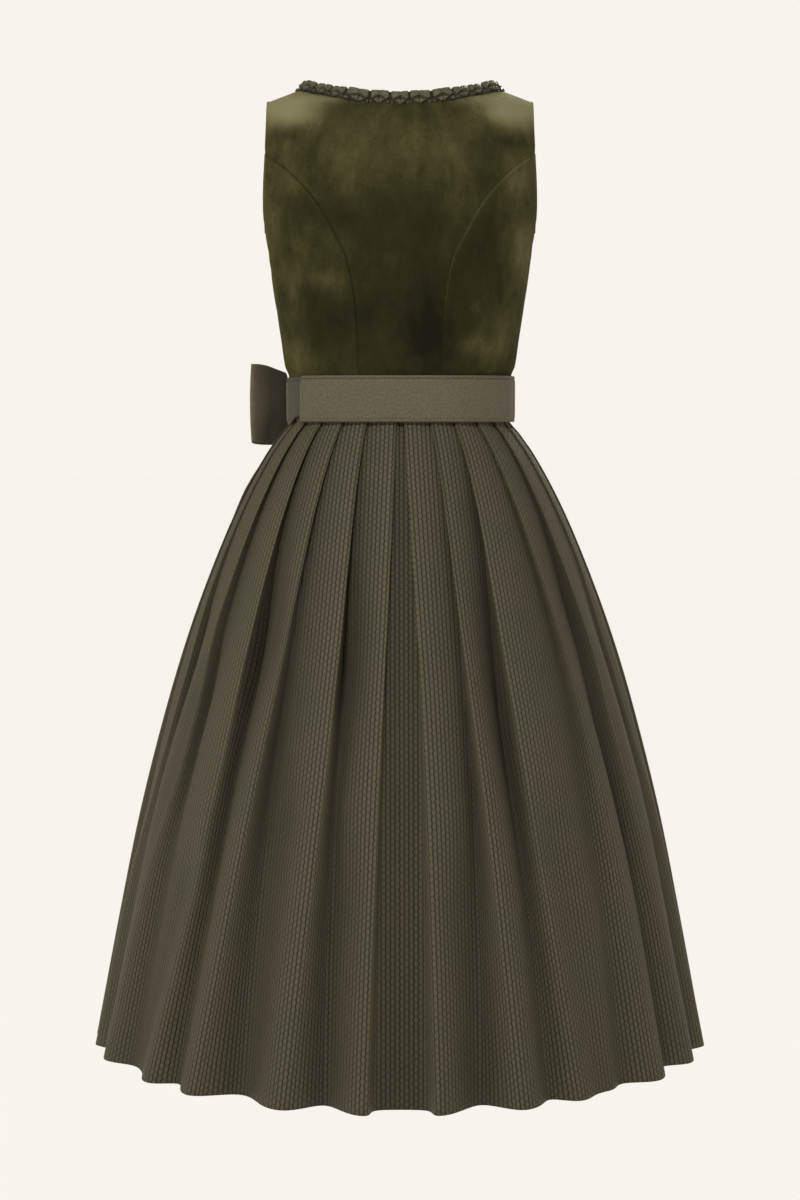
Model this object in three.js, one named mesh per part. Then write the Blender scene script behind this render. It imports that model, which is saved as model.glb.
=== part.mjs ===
// Dirndl dress with its apron, filled out as it is worn and with nobody in it.
// Millimetres. +Z is up, the wearer faces -Y, and +X is the wearer's left.
// The origin is midway between the two shoulder straps, at the height where they rest.
// Every piece is a wall of cloth: an outer face, an inner face and the cut edges between them.
import * as THREE from 'three';

// ---------- driving dimensions ----------

const SEAM_GAP = 0.5;           // between two panels at a seam
const VELVET_WALL = 2.4;        // velvet with its inner cloth
const SKIRT_WALL = 1.5;
const APRON_WALL = 1.2;
const BAND_WALL = 1.6;

const FORM_POWER = 2.25;        // squareness of the body's rings: 2 is an ellipse
const NECK_HALF = 118;          // half the width between the straps' neck ends
const NECK_TOP = 11;            // height of the straps' neck ends
const SHOULDER_HALF = 166;      // half the width over the straps' outer ends
const SHOULDER_SLOPE = 0.37;    // fall of a strap for each millimetre outwards
const UNDERARM_Z = -166;
const WAIST_Z = -375;           // seam of bodice and skirt
const BACK_NECK = { drop: 15, power: 3.5, strapCap: 45 };
const FRONT_NECK = { drop: 150, power: 2.3, strapCap: 60 };

const BAND_TOP = -347;
const BAND_BOTTOM = -404.5;
const SKIRT_HEM = -1188;
const APRON_HEM = -1130;
const SIDE_SEAM_ANGLE = 90;     // degrees round from the centre back
const SEAM_ROWS = 12;           // rows of points up a seam, alike on both its panels
const ARM_ROWS = 6;             // and up the armhole above it
const BAND_ROWS = [-350, -338]; // the bodice is drawn in between these heights and the waist

// ---------- tables ----------

// Rings of the bodice: half width, and depth behind and before the shoulder line.
const BODICE_RINGS = [
  { z: 12, half: 174, back: 62, front: 45 },
  { z: -30, half: 174.8, back: 81, front: 70 },
  { z: -60, half: 175.3, back: 93, front: 88 },
  { z: -110, half: 175.2, back: 105, front: 114 },
  { z: -150, half: 172.6, back: 107.5, front: 130 },
  { z: -166, half: 169.4, back: 107, front: 135 },
  { z: -190, half: 165.7, back: 106, front: 138.5 },
  { z: -245, half: 158.4, back: 102.5, front: 131 },
  { z: -300, half: 150.1, back: 98.5, front: 115 },
  { z: -335, half: 145.2, back: 96, front: 107 },
  { z: -348, half: 140.5, back: 92.2, front: 102.8 },
  { z: -376, half: 140.2, back: 92, front: 102 },
];

// Princess seams: distance from the middle at each height.
const BACK_PRINCESS = [
  { z: -74, x: 167.6 }, { z: -79, x: 161 }, { z: -96, x: 139 }, { z: -115, x: 120 },
  { z: -135, x: 103 }, { z: -155, x: 90.5 }, { z: -180, x: 77 }, { z: -203, x: 66 },
  { z: -244, x: 57 }, { z: -292, x: 52.4 }, { z: -347, x: 50 }, { z: -376, x: 49 },
];
const FRONT_PRINCESS = [
  { z: -102, x: 158.2 }, { z: -120, x: 135 }, { z: -150, x: 108 }, { z: -190, x: 88 },
  { z: -245, x: 70 }, { z: -300, x: 56 }, { z: -376, x: 48 },
];

// Armhole edges: distance from the middle at each height.
const BACK_ARMHOLE = [
  { z: -6, x: 166 }, { z: -30, x: 166 }, { z: -75, x: 167.6 }, { z: -110, x: 169.6 },
  { z: -140, x: 170.3 }, { z: -152, x: 169.8 }, { z: -160, x: 169 }, { z: -166, x: 169.4 },
];
const FRONT_ARMHOLE = [
  { z: -6, x: 166 }, { z: -30, x: 161 }, { z: -75, x: 157.5 }, { z: -110, x: 158.5 },
  { z: -140, x: 162.5 }, { z: -152, x: 164.5 }, { z: -160, x: 166.8 }, { z: -166, x: 169.4 },
];

// Rings of the skirt over its outermost folds.
const SKIRT_RINGS = [
  { z: -375, half: 139, back: 90.5, front: 98.5, power: 2.25 },
  { z: -405, half: 140.4, back: 92, front: 100, power: 2.25 },
  { z: -418, half: 149.5, back: 99, front: 108, power: 2.2 },
  { z: -446, half: 169.3, back: 122, front: 127, power: 2.15 },
  { z: -509, half: 203.8, back: 162, front: 162, power: 2.08 },
  { z: -573, half: 232.1, back: 193, front: 190, power: 2.03 },
  { z: -668, half: 267.6, back: 231, front: 224, power: 2 },
  { z: -764, half: 297, back: 264, front: 254, power: 2 },
  { z: -893, half: 330, back: 302, front: 288, power: 2 },
  { z: -1023, half: 357, back: 335, front: 318, power: 2 },
  { z: -1190, half: 390, back: 371, front: 350, power: 2 },
];

// Pleats of one half of the skirt, counted from the centre back: the angle of the fold edge at
// waist, knee and hem, and how deep the cloth falls in behind that edge at knee and hem.
const LEFT_PLEATS = [
  { waist: 0.7, knee: 3.9, hem: 5.1, kneeDepth: 11, hemDepth: 17 },
  { waist: 14.3, knee: 15.5, hem: 19.5, kneeDepth: 20, hemDepth: 22 },
  { waist: 27.6, knee: 31.5, hem: 38.5, kneeDepth: 14, hemDepth: 26 },
  { waist: 42, knee: 42.8, hem: 50, kneeDepth: 19, hemDepth: 20 },
  { waist: 56, knee: 60, hem: 68, kneeDepth: 13, hemDepth: 22 },
  { waist: 70, knee: 73, hem: 80, kneeDepth: 16, hemDepth: 16 },
  { waist: 84, knee: 84, hem: 88, kneeDepth: 12, hemDepth: 20 },
  { waist: 98, knee: 98, hem: 100, kneeDepth: 14, hemDepth: 18 },
  { waist: 111, knee: 112, hem: 113, kneeDepth: 16, hemDepth: 20 },
  { waist: 125, knee: 125, hem: 127, kneeDepth: 12, hemDepth: 17 },
  { waist: 138, knee: 139, hem: 140, kneeDepth: 15, hemDepth: 21 },
  { waist: 152, knee: 151, hem: 152, kneeDepth: 12, hemDepth: 16 },
  { waist: 165, knee: 164, hem: 165, kneeDepth: 14, hemDepth: 18 },
];
const RIGHT_PLEATS = [
  { waist: 0.7, knee: 5, hem: 5.6, kneeDepth: 11, hemDepth: 17 },
  { waist: 13, knee: 17, hem: 20.7, kneeDepth: 13, hemDepth: 24 },
  { waist: 25.8, knee: 27.2, hem: 32.5, kneeDepth: 21, hemDepth: 20 },
  { waist: 40, knee: 48, hem: 52, kneeDepth: 12, hemDepth: 22 },
  { waist: 55, knee: 61, hem: 66, kneeDepth: 15, hemDepth: 20 },
  { waist: 69, knee: 74, hem: 79, kneeDepth: 15, hemDepth: 17 },
  { waist: 84, knee: 85, hem: 88.5, kneeDepth: 13, hemDepth: 19 },
  { waist: 98, knee: 99, hem: 101, kneeDepth: 15, hemDepth: 20 },
  { waist: 111, knee: 111, hem: 114, kneeDepth: 13, hemDepth: 18 },
  { waist: 125, knee: 126, hem: 126, kneeDepth: 15, hemDepth: 20 },
  { waist: 138, knee: 138, hem: 139, kneeDepth: 13, hemDepth: 17 },
  { waist: 152, knee: 153, hem: 152, kneeDepth: 14, hemDepth: 19 },
  { waist: 165, knee: 165, hem: 166, kneeDepth: 12, hemDepth: 17 },
];
const WAIST_DEPTH = 4;          // step between two pleats at the waist
const KNEE_Z = -750;
// Width of that step: a sharp fold at the waist, a soft wave at the hem, as part of the pleat.
const STEP_SHARE = { waist: 0.14, knee: 0.2, hem: 0.5 };

const SKIRT_ROWS = [-375.5, -404, -430, -475, -550, -650, -760, -900, -1045, SKIRT_HEM];

// The apron's soft gathers: angle of each crest from the centre front, and its height.
const APRON_GATHERS = [
  { angle: -58, crest: 3 }, { angle: -43, crest: 6 }, { angle: -29, crest: 4 },
  { angle: -16, crest: 7 }, { angle: -2, crest: 5 }, { angle: 13, crest: 6 },
  { angle: 27, crest: 4 }, { angle: 42, crest: 7 }, { angle: 57, crest: 3 },
];
const APRON_HALF_ANGLE = 62;
const APRON_CLEARANCE = 1;      // from the skirt's folds to the apron
const APRON_ROWS = [-377, -404, -430, -480, -570, -690, -830, -980, APRON_HEM];

// Band and ties round the waist: rings, and the angles each piece runs between.
const BAND_RING = { half: 143.8, back: 95.6, front: 108.4 };
const TIE_BACK = { from: -112, to: 57.5 };
const TIE_LEFT = { from: 58, to: 118, top: -349, bottom: -397 };
const WAISTBAND = { from: 133, to: 247.5 };

// The bow at the wearer's left, in front of the side.
const KNOT = { x: 133, y: -73, z: -378, width: 30, height: 36, depth: 17, turn: -43 };
const BOW_LOOPS = [
  {
    name: 'bow_loop_outer', x: 143, y: -66, aim: 53, length: 74,
    rootHeight: 34, endHeight: 101, endDrop: 5, spread: 11,
  },
  {
    name: 'bow_loop_front', x: 122.5, y: -86.5, aim: -145, length: 92,
    rootHeight: 34, endHeight: 94, endDrop: 6, spread: 10,
  },
];
const BOW_TAILS = [
  { name: 'bow_tail_long', angle: 136, drift: 7, length: 460, width: 54, lift: 9 },
  { name: 'bow_tail_short', angle: 118, drift: -4, length: 390, width: 54, lift: 6.5 },
];

// ---------- colours and finishes ----------

const velvet = new THREE.MeshStandardMaterial({ color: 0x47431f, roughness: 0.85, metalness: 0 });
const jacquard = new THREE.MeshStandardMaterial({ color: 0x46422f, roughness: 0.8, metalness: 0 });
const twill = new THREE.MeshStandardMaterial({ color: 0x645d4a, roughness: 0.75, metalness: 0 });
const ribbon = new THREE.MeshStandardMaterial({ color: 0x3e3a2a, roughness: 0.6, metalness: 0 });

// ---------- small helpers ----------

const radians = THREE.MathUtils.degToRad;
const mix = THREE.MathUtils.lerp;
const clamp = THREE.MathUtils.clamp;

// Value of one column of a table at height z, on a smooth curve through its rows.
function column(table, name, z) {
  const rows = [...table].sort((p, q) => p.z - q.z);
  const last = rows.length - 1;
  const height = clamp(z, rows[0].z, rows[last].z);
  let i = rows.findIndex((row) => row.z > height) - 1;
  if (i < 0) {
    i = last - 1;
  }
  const slope = (a, b) => (rows[b][name] - rows[a][name]) / (rows[b].z - rows[a].z);
  const tangentAt = (k) => {
    const before = slope(Math.max(k - 1, 0), Math.max(k, 1));
    const after = slope(Math.min(k, last - 1), Math.min(k + 1, last));
    return before * after <= 0 ? 0 : (2 * before * after) / (before + after);
  };
  const span = rows[i + 1].z - rows[i].z;
  const t = (height - rows[i].z) / span;
  const t2 = t * t;
  const t3 = t2 * t;
  return (2 * t3 - 3 * t2 + 1) * rows[i][name] + (t3 - 2 * t2 + t) * span * tangentAt(i)
    + (3 * t2 - 2 * t3) * rows[i + 1][name] + (t3 - t2) * span * tangentAt(i + 1);
}

// Closed body between an outer and an inner grid of points, rows first.
function wallBody(outer, inner) {
  const rows = outer.length;
  const columns = outer[0].length;
  const positions = [];
  for (const grid of [outer, inner]) {
    for (const row of grid) {
      for (const point of row) {
        positions.push(point.x, point.y, point.z);
      }
    }
  }
  const at = (side, i, j) => side * rows * columns + i * columns + j;
  const faces = [];
  const quad = (a, b, c, d) => faces.push(a, b, c, a, c, d);
  for (let i = 0; i + 1 < rows; i += 1) {
    for (let j = 0; j + 1 < columns; j += 1) {
      quad(at(0, i, j), at(0, i, j + 1), at(0, i + 1, j + 1), at(0, i + 1, j));
      quad(at(1, i, j), at(1, i + 1, j), at(1, i + 1, j + 1), at(1, i, j + 1));
    }
    quad(at(0, i, 0), at(0, i + 1, 0), at(1, i + 1, 0), at(1, i, 0));
    const end = columns - 1;
    quad(at(0, i, end), at(1, i, end), at(1, i + 1, end), at(0, i + 1, end));
  }
  for (let j = 0; j + 1 < columns; j += 1) {
    const top = rows - 1;
    quad(at(0, 0, j), at(1, 0, j), at(1, 0, j + 1), at(0, 0, j + 1));
    quad(at(0, top, j), at(0, top, j + 1), at(1, top, j + 1), at(1, top, j));
  }
  return outwardGeometry(positions, faces);
}

// Geometry whose faces point out: they are turned round when the enclosed volume is negative.
function outwardGeometry(positions, faces) {
  const corner = (k) => new THREE.Vector3().fromArray(positions, faces[k] * 3);
  let volume = 0;
  for (let k = 0; k < faces.length; k += 3) {
    volume += corner(k).dot(corner(k + 1).cross(corner(k + 2)));
  }
  if (volume < 0) {
    for (let k = 0; k < faces.length; k += 3) {
      [faces[k + 1], faces[k + 2]] = [faces[k + 2], faces[k + 1]];
    }
  }
  const geometry = new THREE.BufferGeometry();
  geometry.setAttribute('position', new THREE.Float32BufferAttribute(positions, 3));
  geometry.setIndex(faces);
  geometry.computeVertexNormals();
  return geometry;
}

// The same row of points moved sideways by a wall's thickness, square to the row in plan.
function rowInset(row, wall) {
  const last = row.length - 1;
  const across = (a, b) => new THREE.Vector2(b.y - a.y, a.x - b.x).normalize();
  return row.map((point, j) => {
    const before = across(row[Math.max(j - 1, 0)], row[Math.max(j, 1)]);
    const after = across(row[Math.min(j, last - 1)], row[Math.min(j + 1, last)]);
    const normal = before.clone().add(after).normalize();
    const reach = wall / Math.max(normal.dot(after), 0.6);
    return new THREE.Vector3(point.x + normal.x * reach, point.y + normal.y * reach, point.z);
  });
}

// ---------- bodice ----------

// Height of the shoulder line over a point at distance x from the middle.
function ridgeHeight(x) {
  return NECK_TOP - SHOULDER_SLOPE * Math.max(0, Math.abs(x) - NECK_HALF);
}

// Angle round a bodice ring, in radians from the middle, of the point at distance x.
function ringAngle(x, z) {
  const share = Math.min(1, Math.abs(x) / column(BODICE_RINGS, 'half', z));
  return Math.sign(x) * Math.asin(share ** (FORM_POWER / 2));
}

// Point of the bodice's form. The ring is a superellipse, and near the shoulder line its depth
// is rounded off as a quarter ellipse, so that the straps turn over the shoulders.
function bodicePoint(face, angle, z, inset) {
  const half = column(BODICE_RINGS, 'half', z);
  const depth = column(BODICE_RINGS, face, z);
  const neck = face === 'back' ? BACK_NECK : FRONT_NECK;
  const sine = Math.abs(Math.sin(angle)) ** (2 / FORM_POWER);
  const cosine = Math.abs(Math.cos(angle)) ** (2 / FORM_POWER);
  const strap = THREE.MathUtils.smoothstep(half * sine, NECK_HALF / 4, NECK_HALF);
  const cap = mix(4, neck.strapCap, strap);
  const fall = clamp((ridgeHeight(half * sine) - z) / cap, 0, 1);
  const rounding = Math.sqrt(1 - (1 - fall) ** 2);
  const y = SEAM_GAP / 2 + (depth - inset) * cosine * rounding;
  const x = Math.sign(angle) * (half - inset) * sine;
  return new THREE.Vector3(x, face === 'back' ? y : -y, z - inset * (1 - fall));
}

// Neckline as [x, z] points from the middle to the strap's neck end: a superellipse arc.
function neckline(neck, count, firstX) {
  const points = [];
  for (let i = 0; i < count; i += 1) {
    const turn = (i / (count - 1)) * (Math.PI / 2);
    const x = NECK_HALF * Math.sin(turn) ** (2 / neck.power);
    const z = NECK_TOP - neck.drop * Math.cos(turn) ** (2 / neck.power);
    points.push([Math.max(x, firstX), z]);
  }
  return points;
}

function shoulderLine(count) {
  const points = [];
  for (let i = 1; i <= count; i += 1) {
    const x = mix(NECK_HALF, SHOULDER_HALF, i / count);
    points.push([x, ridgeHeight(x)]);
  }
  return points;
}

// Heights of the rows of points from the waist up to topZ: three at the band, the rest even.
function seamHeights(topZ) {
  const low = [WAIST_Z + SEAM_GAP, BAND_ROWS[0]];
  const rest = SEAM_ROWS - low.length;
  return [...low, ...Array.from({ length: rest }, (_, i) => mix(BAND_ROWS[1], topZ, i / (rest - 1)))];
}

// [x, z] points of an edge table between two heights.
function edgeLine(table, fromZ, toZ, count) {
  return Array.from({ length: count }, (_, i) => {
    const z = mix(fromZ, toZ, i / (count - 1));
    return [column(table, 'x', z), z];
  });
}

// [x, z] points of an armhole from fromZ down to the underarm, closer together as it turns in.
function underarmLine(armhole, fromZ, count) {
  return Array.from({ length: count }, (_, i) => {
    const z = mix(fromZ, UNDERARM_Z, Math.sin((i / (count - 1)) * (Math.PI / 2)));
    return [column(armhole, 'x', z), z];
  });
}

// [x, z] points of a princess seam from the waist to its top, moved sideways by shift.
function seamLine(princess, shift) {
  return seamHeights(princess[0].z).map((z) => [column(princess, 'x', z) + shift, z]);
}

// [x, z] points of the side seam, on the widest line of the form.
function sideLine() {
  return seamHeights(UNDERARM_Z).map((z) => [column(BODICE_RINGS, 'half', z), z]);
}

function waistLine(fromX, toX, count) {
  const points = [];
  for (let i = 0; i < count; i += 1) {
    points.push([mix(fromX, toX, i / (count - 1)), WAIST_Z + SEAM_GAP]);
  }
  return points;
}

// Panel between four cut edges, as a Coons patch over angle and height: each inner point is the
// blend of bottom with top, and of left with right, less the blend of the four corners.
function bodicePanel(face, bottom, top, left, right) {
  const flat = (line) => line.map(([x, z]) => new THREE.Vector2(ringAngle(x, z), z));
  const [low, high, start, end] = [bottom, top, left, right].map(flat);
  const rows = start.length;
  const columns = low.length;
  const grid = (inset) => {
    const points = [];
    for (let i = 0; i < rows; i += 1) {
      const v = i / (rows - 1);
      const row = [];
      for (let j = 0; j < columns; j += 1) {
        const u = j / (columns - 1);
        const upDown = low[j].clone().lerp(high[j], v);
        const across = start[i].clone().lerp(end[i], u);
        const corners = low[0].clone().lerp(low[columns - 1], u)
          .lerp(high[0].clone().lerp(high[columns - 1], u), v);
        const place = upDown.add(across).sub(corners);
        row.push(bodicePoint(face, place.x, place.y, inset));
      }
      points.push(row);
    }
    return points;
  };
  return wallBody(grid(0), grid(VELVET_WALL));
}

function mirrorLine(line) {
  return line.map(([x, z]) => [-x, z]);
}

// Outer edge of a centre panel: up the princess seam, then up the armhole to the shoulder.
function princessAndArmhole(princess, armhole) {
  const meet = princess[0].z;
  const tip = ridgeHeight(SHOULDER_HALF);
  const arm = edgeLine(armhole, meet + 1.5, tip, ARM_ROWS);
  return [...seamLine(princess, -SEAM_GAP), ...arm];
}

function backCentrePanel() {
  const outer = princessAndArmhole(BACK_PRINCESS, BACK_ARMHOLE);
  const halfTop = [...neckline(BACK_NECK, 8, 0), ...shoulderLine(3)];
  const halfBottom = waistLine(0, outer[0][0], halfTop.length);
  const whole = (half) => [...mirrorLine(half).reverse(), ...half.slice(1)];
  return bodicePanel('back', whole(halfBottom), whole(halfTop), mirrorLine(outer), outer);
}

function sidePanel(face, princess, armhole, sign) {
  const columns = 9;
  const meet = princess[0].z;
  const inner = seamLine(princess, SEAM_GAP);
  const outer = sideLine();
  const top = underarmLine(armhole, meet - 1.5, columns);
  inner[SEAM_ROWS - 1] = top[0];
  const bottom = waistLine(inner[0][0], outer[0][0], columns);
  const lines = [bottom, top, inner, outer];
  const placed = sign > 0 ? lines : lines.map(mirrorLine);
  return bodicePanel(face, ...placed);
}

// Front centre panel, ruled between its inner edge (the centre front, then the neckline) and its
// outer edge (the princess seam, then the armhole), with the shoulder line across its top.
function frontPanel(sign) {
  const outer = princessAndArmhole(FRONT_PRINCESS, FRONT_ARMHOLE);
  const neck = neckline(FRONT_NECK, 9, SEAM_GAP);
  const low = seamHeights(neck[0][1]).slice(0, 3);
  const rest = outer.length - low.length - neck.length;
  const high = Array.from({ length: rest }, (_, i) => mix(low[2], neck[0][1], (i + 1) / (rest + 1)));
  const inner = [...[...low, ...high].map((z) => [SEAM_GAP, z]), ...neck];
  const columns = 9;
  const bottom = waistLine(SEAM_GAP, outer[0][0], columns);
  const [start, end] = [inner[inner.length - 1], outer[outer.length - 1]];
  const top = bottom.map((_, i) => {
    const x = mix(start[0], end[0], i / (columns - 1));
    return [x, ridgeHeight(x)];
  });
  const lines = [bottom, top, inner, outer];
  const placed = sign > 0 ? lines : lines.map(mirrorLine);
  return bodicePanel('front', ...placed);
}

// ---------- neck ruche ----------

// Point and outward normal of the bodice at [x, z], taken from short steps along the surface.
function surfaceFrame(face, x, z) {
  const step = 0.4;
  const place = (px, drop) => {
    const height = ridgeHeight(px) - drop;
    return bodicePoint(face, ringAngle(px, height), height, 0);
  };
  const drop = ridgeHeight(x) - z;
  const point = place(x, drop);
  const along = place(x + step, drop).sub(place(x - step, drop));
  const down = place(x, drop + step).sub(point);
  const normal = along.cross(down).normalize();
  const outward = new THREE.Vector3(0, face === 'back' ? 1 : -1, 1);
  if (normal.dot(outward) < 0) {
    normal.negate();
  }
  return { point, normal };
}

// A flat ribbon band round the neckline, from the centre front over both shoulders.
function ruche() {
  const reach = { above: 3, below: 12, lift: 1, thick: 5 };
  const front = neckline(FRONT_NECK, 22, 1).map(([x, z]) => surfaceFrame('front', x, z));
  const back = neckline(BACK_NECK, 16, 0).reverse().slice(1)
    .map(([x, z]) => surfaceFrame('back', x, z));
  const half = [...front, ...back];
  const mirrored = half.slice(0, -1).reverse().map(({ point, normal }) => ({
    point: new THREE.Vector3(-point.x, point.y, point.z),
    normal: new THREE.Vector3(-normal.x, normal.y, normal.z),
  }));
  const path = [...half, ...mirrored];
  const last = path.length - 1;
  const section = [
    [-reach.above, reach.lift], [-reach.above, reach.thick], [reach.below * 0.4, reach.thick + 1],
    [reach.below, reach.thick], [reach.below, reach.lift],
  ];
  const rings = path.map(({ point, normal }, i) => {
    const next = path[Math.min(i + 1, last)].point;
    const before = path[Math.max(i - 1, 0)].point;
    const tangent = next.clone().sub(before).normalize();
    const down = new THREE.Vector3().crossVectors(normal, tangent).normalize().negate();
    const lift = new THREE.Vector3().crossVectors(tangent, down).negate();
    return section.map(([d, n]) => point.clone().addScaledVector(down, d).addScaledVector(lift, n));
  });
  return tubeBody(rings);
}

// Closed body through rings of equal count, with a flat fan at each end.
function tubeBody(rings) {
  const count = rings[0].length;
  const positions = rings.flat().flatMap((point) => [point.x, point.y, point.z]);
  const faces = [];
  for (let i = 0; i + 1 < rings.length; i += 1) {
    for (let j = 0; j < count; j += 1) {
      const k = (j + 1) % count;
      faces.push(i * count + j, i * count + k, (i + 1) * count + k);
      faces.push(i * count + j, (i + 1) * count + k, (i + 1) * count + j);
    }
  }
  const end = (rings.length - 1) * count;
  for (let j = 1; j + 1 < count; j += 1) {
    faces.push(0, j + 1, j);
    faces.push(end, end + j, end + j + 1);
  }
  return outwardGeometry(positions, faces);
}

// ---------- skirt ----------

// Point of the skirt's form at an angle in degrees from the centre back, moved inwards by depth.
function skirtPoint(angle, z, depth) {
  const a = radians(angle);
  const half = column(SKIRT_RINGS, 'half', z);
  const deep = column(SKIRT_RINGS, Math.cos(a) >= 0 ? 'back' : 'front', z);
  const power = 2 / column(SKIRT_RINGS, 'power', z);
  const x = half * Math.sign(Math.sin(a)) * Math.abs(Math.sin(a)) ** power;
  const y = deep * Math.sign(Math.cos(a)) * Math.abs(Math.cos(a)) ** power;
  const normal = new THREE.Vector2(Math.sin(a) / half, Math.cos(a) / deep).normalize();
  return new THREE.Vector3(x - normal.x * depth, y - normal.y * depth, z);
}

// Value that goes from waist to knee to hem along a smooth line.
function downSkirt(waist, knee, hem, z) {
  const rows = [{ z: SKIRT_HEM, v: hem }, { z: KNEE_Z, v: knee }, { z: WAIST_Z, v: waist }];
  return column(rows, 'v', z);
}

// Knots of one half at height z, from the centre back: fold edge, middle of the face, valley.
// A face slopes inwards from its own fold edge to the valley that lies at the next one's foot.
function pleatKnots(pleats, z) {
  const edges = pleats.map((pleat) => downSkirt(pleat.waist, pleat.knee, pleat.hem, z));
  const depths = pleats.map((pleat) => downSkirt(WAIST_DEPTH, pleat.kneeDepth, pleat.hemDepth, z));
  const share = downSkirt(STEP_SHARE.waist, STEP_SHARE.knee, STEP_SHARE.hem, z);
  const open = downSkirt(0.6, pleats[0].kneeDepth, pleats[0].hemDepth, z);
  const knots = [{ angle: 0, depth: open }, { angle: edges[0] * 0.55, depth: open * 0.85 }];
  edges.forEach((edge, k) => {
    const next = k + 1 < edges.length ? edges[k + 1] : 180;
    const depth = k + 1 < edges.length ? depths[k + 1] : depths[k] * 0.6;
    const foot = next - (next - edge) * share;
    knots.push({ angle: edge, depth: 0 });
    knots.push({ angle: mix(edge, foot, 0.5), depth: depth * 0.38 });
    knots.push({ angle: k + 1 < edges.length ? foot : 180, depth });
  });
  return knots;
}

// Part of a half's knots on one side of the side seam. The seam crosses the face of pleat 6.
function knotsBySeam(knots, back, z) {
  const seamPleat = 2 + 6 * 3;
  const half = column(SKIRT_RINGS, 'half', z);
  const gap = THREE.MathUtils.radToDeg(SEAM_GAP / half);
  const edge = knots[seamPleat];
  const foot = knots[seamPleat + 2];
  const share = (SIDE_SEAM_ANGLE - edge.angle) / (foot.angle - edge.angle);
  const seam = { angle: SIDE_SEAM_ANGLE + (back ? -gap : gap), depth: mix(0, foot.depth, share) };
  return back ? [...knots.slice(0, seamPleat + 1), seam] : [seam, ...knots.slice(seamPleat + 2)];
}

function skirtPanel(back) {
  const outer = SKIRT_ROWS.map((z) => {
    const left = knotsBySeam(pleatKnots(LEFT_PLEATS, z), back, z);
    const right = knotsBySeam(pleatKnots(RIGHT_PLEATS, z), back, z);
    const mirrored = right.map(({ angle, depth }) => ({ angle: 360 - angle, depth }));
    const half = back ? mirrored : left;
    const rest = back ? left : mirrored;
    const turn = back ? [...half.reverse(), ...rest.slice(1)] : [...half, ...rest.reverse().slice(1)];
    return turn.map(({ angle, depth }) => skirtPoint(angle, z, depth));
  });
  const inner = outer.map((row) => rowInset(row, SKIRT_WALL));
  return wallBody(outer, inner);
}

// ---------- apron ----------

// Height of the gathers over the apron's ground at an angle from the centre front.
function gatherHeight(angle, z) {
  const growth = clamp((WAIST_Z - z) / 260, 0.12, 1);
  const spread = 5.5;
  const sum = APRON_GATHERS.reduce(
    (total, { angle: crest, crest: height }) => (
      total + height * Math.exp(-(((angle - crest) / spread) ** 2))
    ),
    0,
  );
  return sum * growth;
}

function apronPanel() {
  const columns = 27;
  const outer = APRON_ROWS.map((z) => {
    const row = [];
    for (let j = 0; j < columns; j += 1) {
      const angle = mix(-APRON_HALF_ANGLE, APRON_HALF_ANGLE, j / (columns - 1));
      const lift = APRON_CLEARANCE + APRON_WALL + gatherHeight(angle, z);
      row.push(skirtPoint(180 + angle, z, -lift));
    }
    return row;
  });
  const inner = outer.map((row) => rowInset(row, APRON_WALL));
  return wallBody(outer, inner);
}

// ---------- band and ties ----------

// A flat band round the waist between two angles, counted as the skirt's are.
function bandPiece({ from, to, top = BAND_TOP, bottom = BAND_BOTTOM }, wall) {
  const steps = Math.ceil(Math.abs(to - from) / 7);
  const ring = (inset, z) => {
    const row = [];
    for (let j = 0; j <= steps; j += 1) {
      const a = radians(mix(from, to, j / steps));
      const deep = (Math.cos(a) >= 0 ? BAND_RING.back : BAND_RING.front) - inset;
      const half = BAND_RING.half - inset;
      const power = 2 / FORM_POWER;
      row.push(new THREE.Vector3(
        half * Math.sign(Math.sin(a)) * Math.abs(Math.sin(a)) ** power,
        deep * Math.sign(Math.cos(a)) * Math.abs(Math.cos(a)) ** power,
        z,
      ));
    }
    return row;
  };
  return wallBody([ring(0, bottom), ring(0, top)], [ring(wall, bottom), ring(wall, top)]);
}

// ---------- bow ----------

function knotBody() {
  const shape = new THREE.Shape();
  const [w, h] = [KNOT.width / 2, KNOT.height / 2];
  shape.moveTo(-w * 0.7, -h);
  shape.quadraticCurveTo(0, -h * 0.85, w * 0.7, -h);
  shape.quadraticCurveTo(w * 1.2, 0, w * 0.7, h);
  shape.quadraticCurveTo(0, h * 0.85, -w * 0.7, h);
  shape.quadraticCurveTo(-w * 1.2, 0, -w * 0.7, -h);
  const geometry = new THREE.ExtrudeGeometry(shape, {
    depth: KNOT.depth - 4, bevelEnabled: true, bevelThickness: 2, bevelSize: 2, bevelSegments: 1,
    curveSegments: 5,
  });
  geometry.translate(0, 0, -(KNOT.depth - 4) / 2);
  geometry.rotateX(Math.PI / 2);
  return geometry;
}

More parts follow.
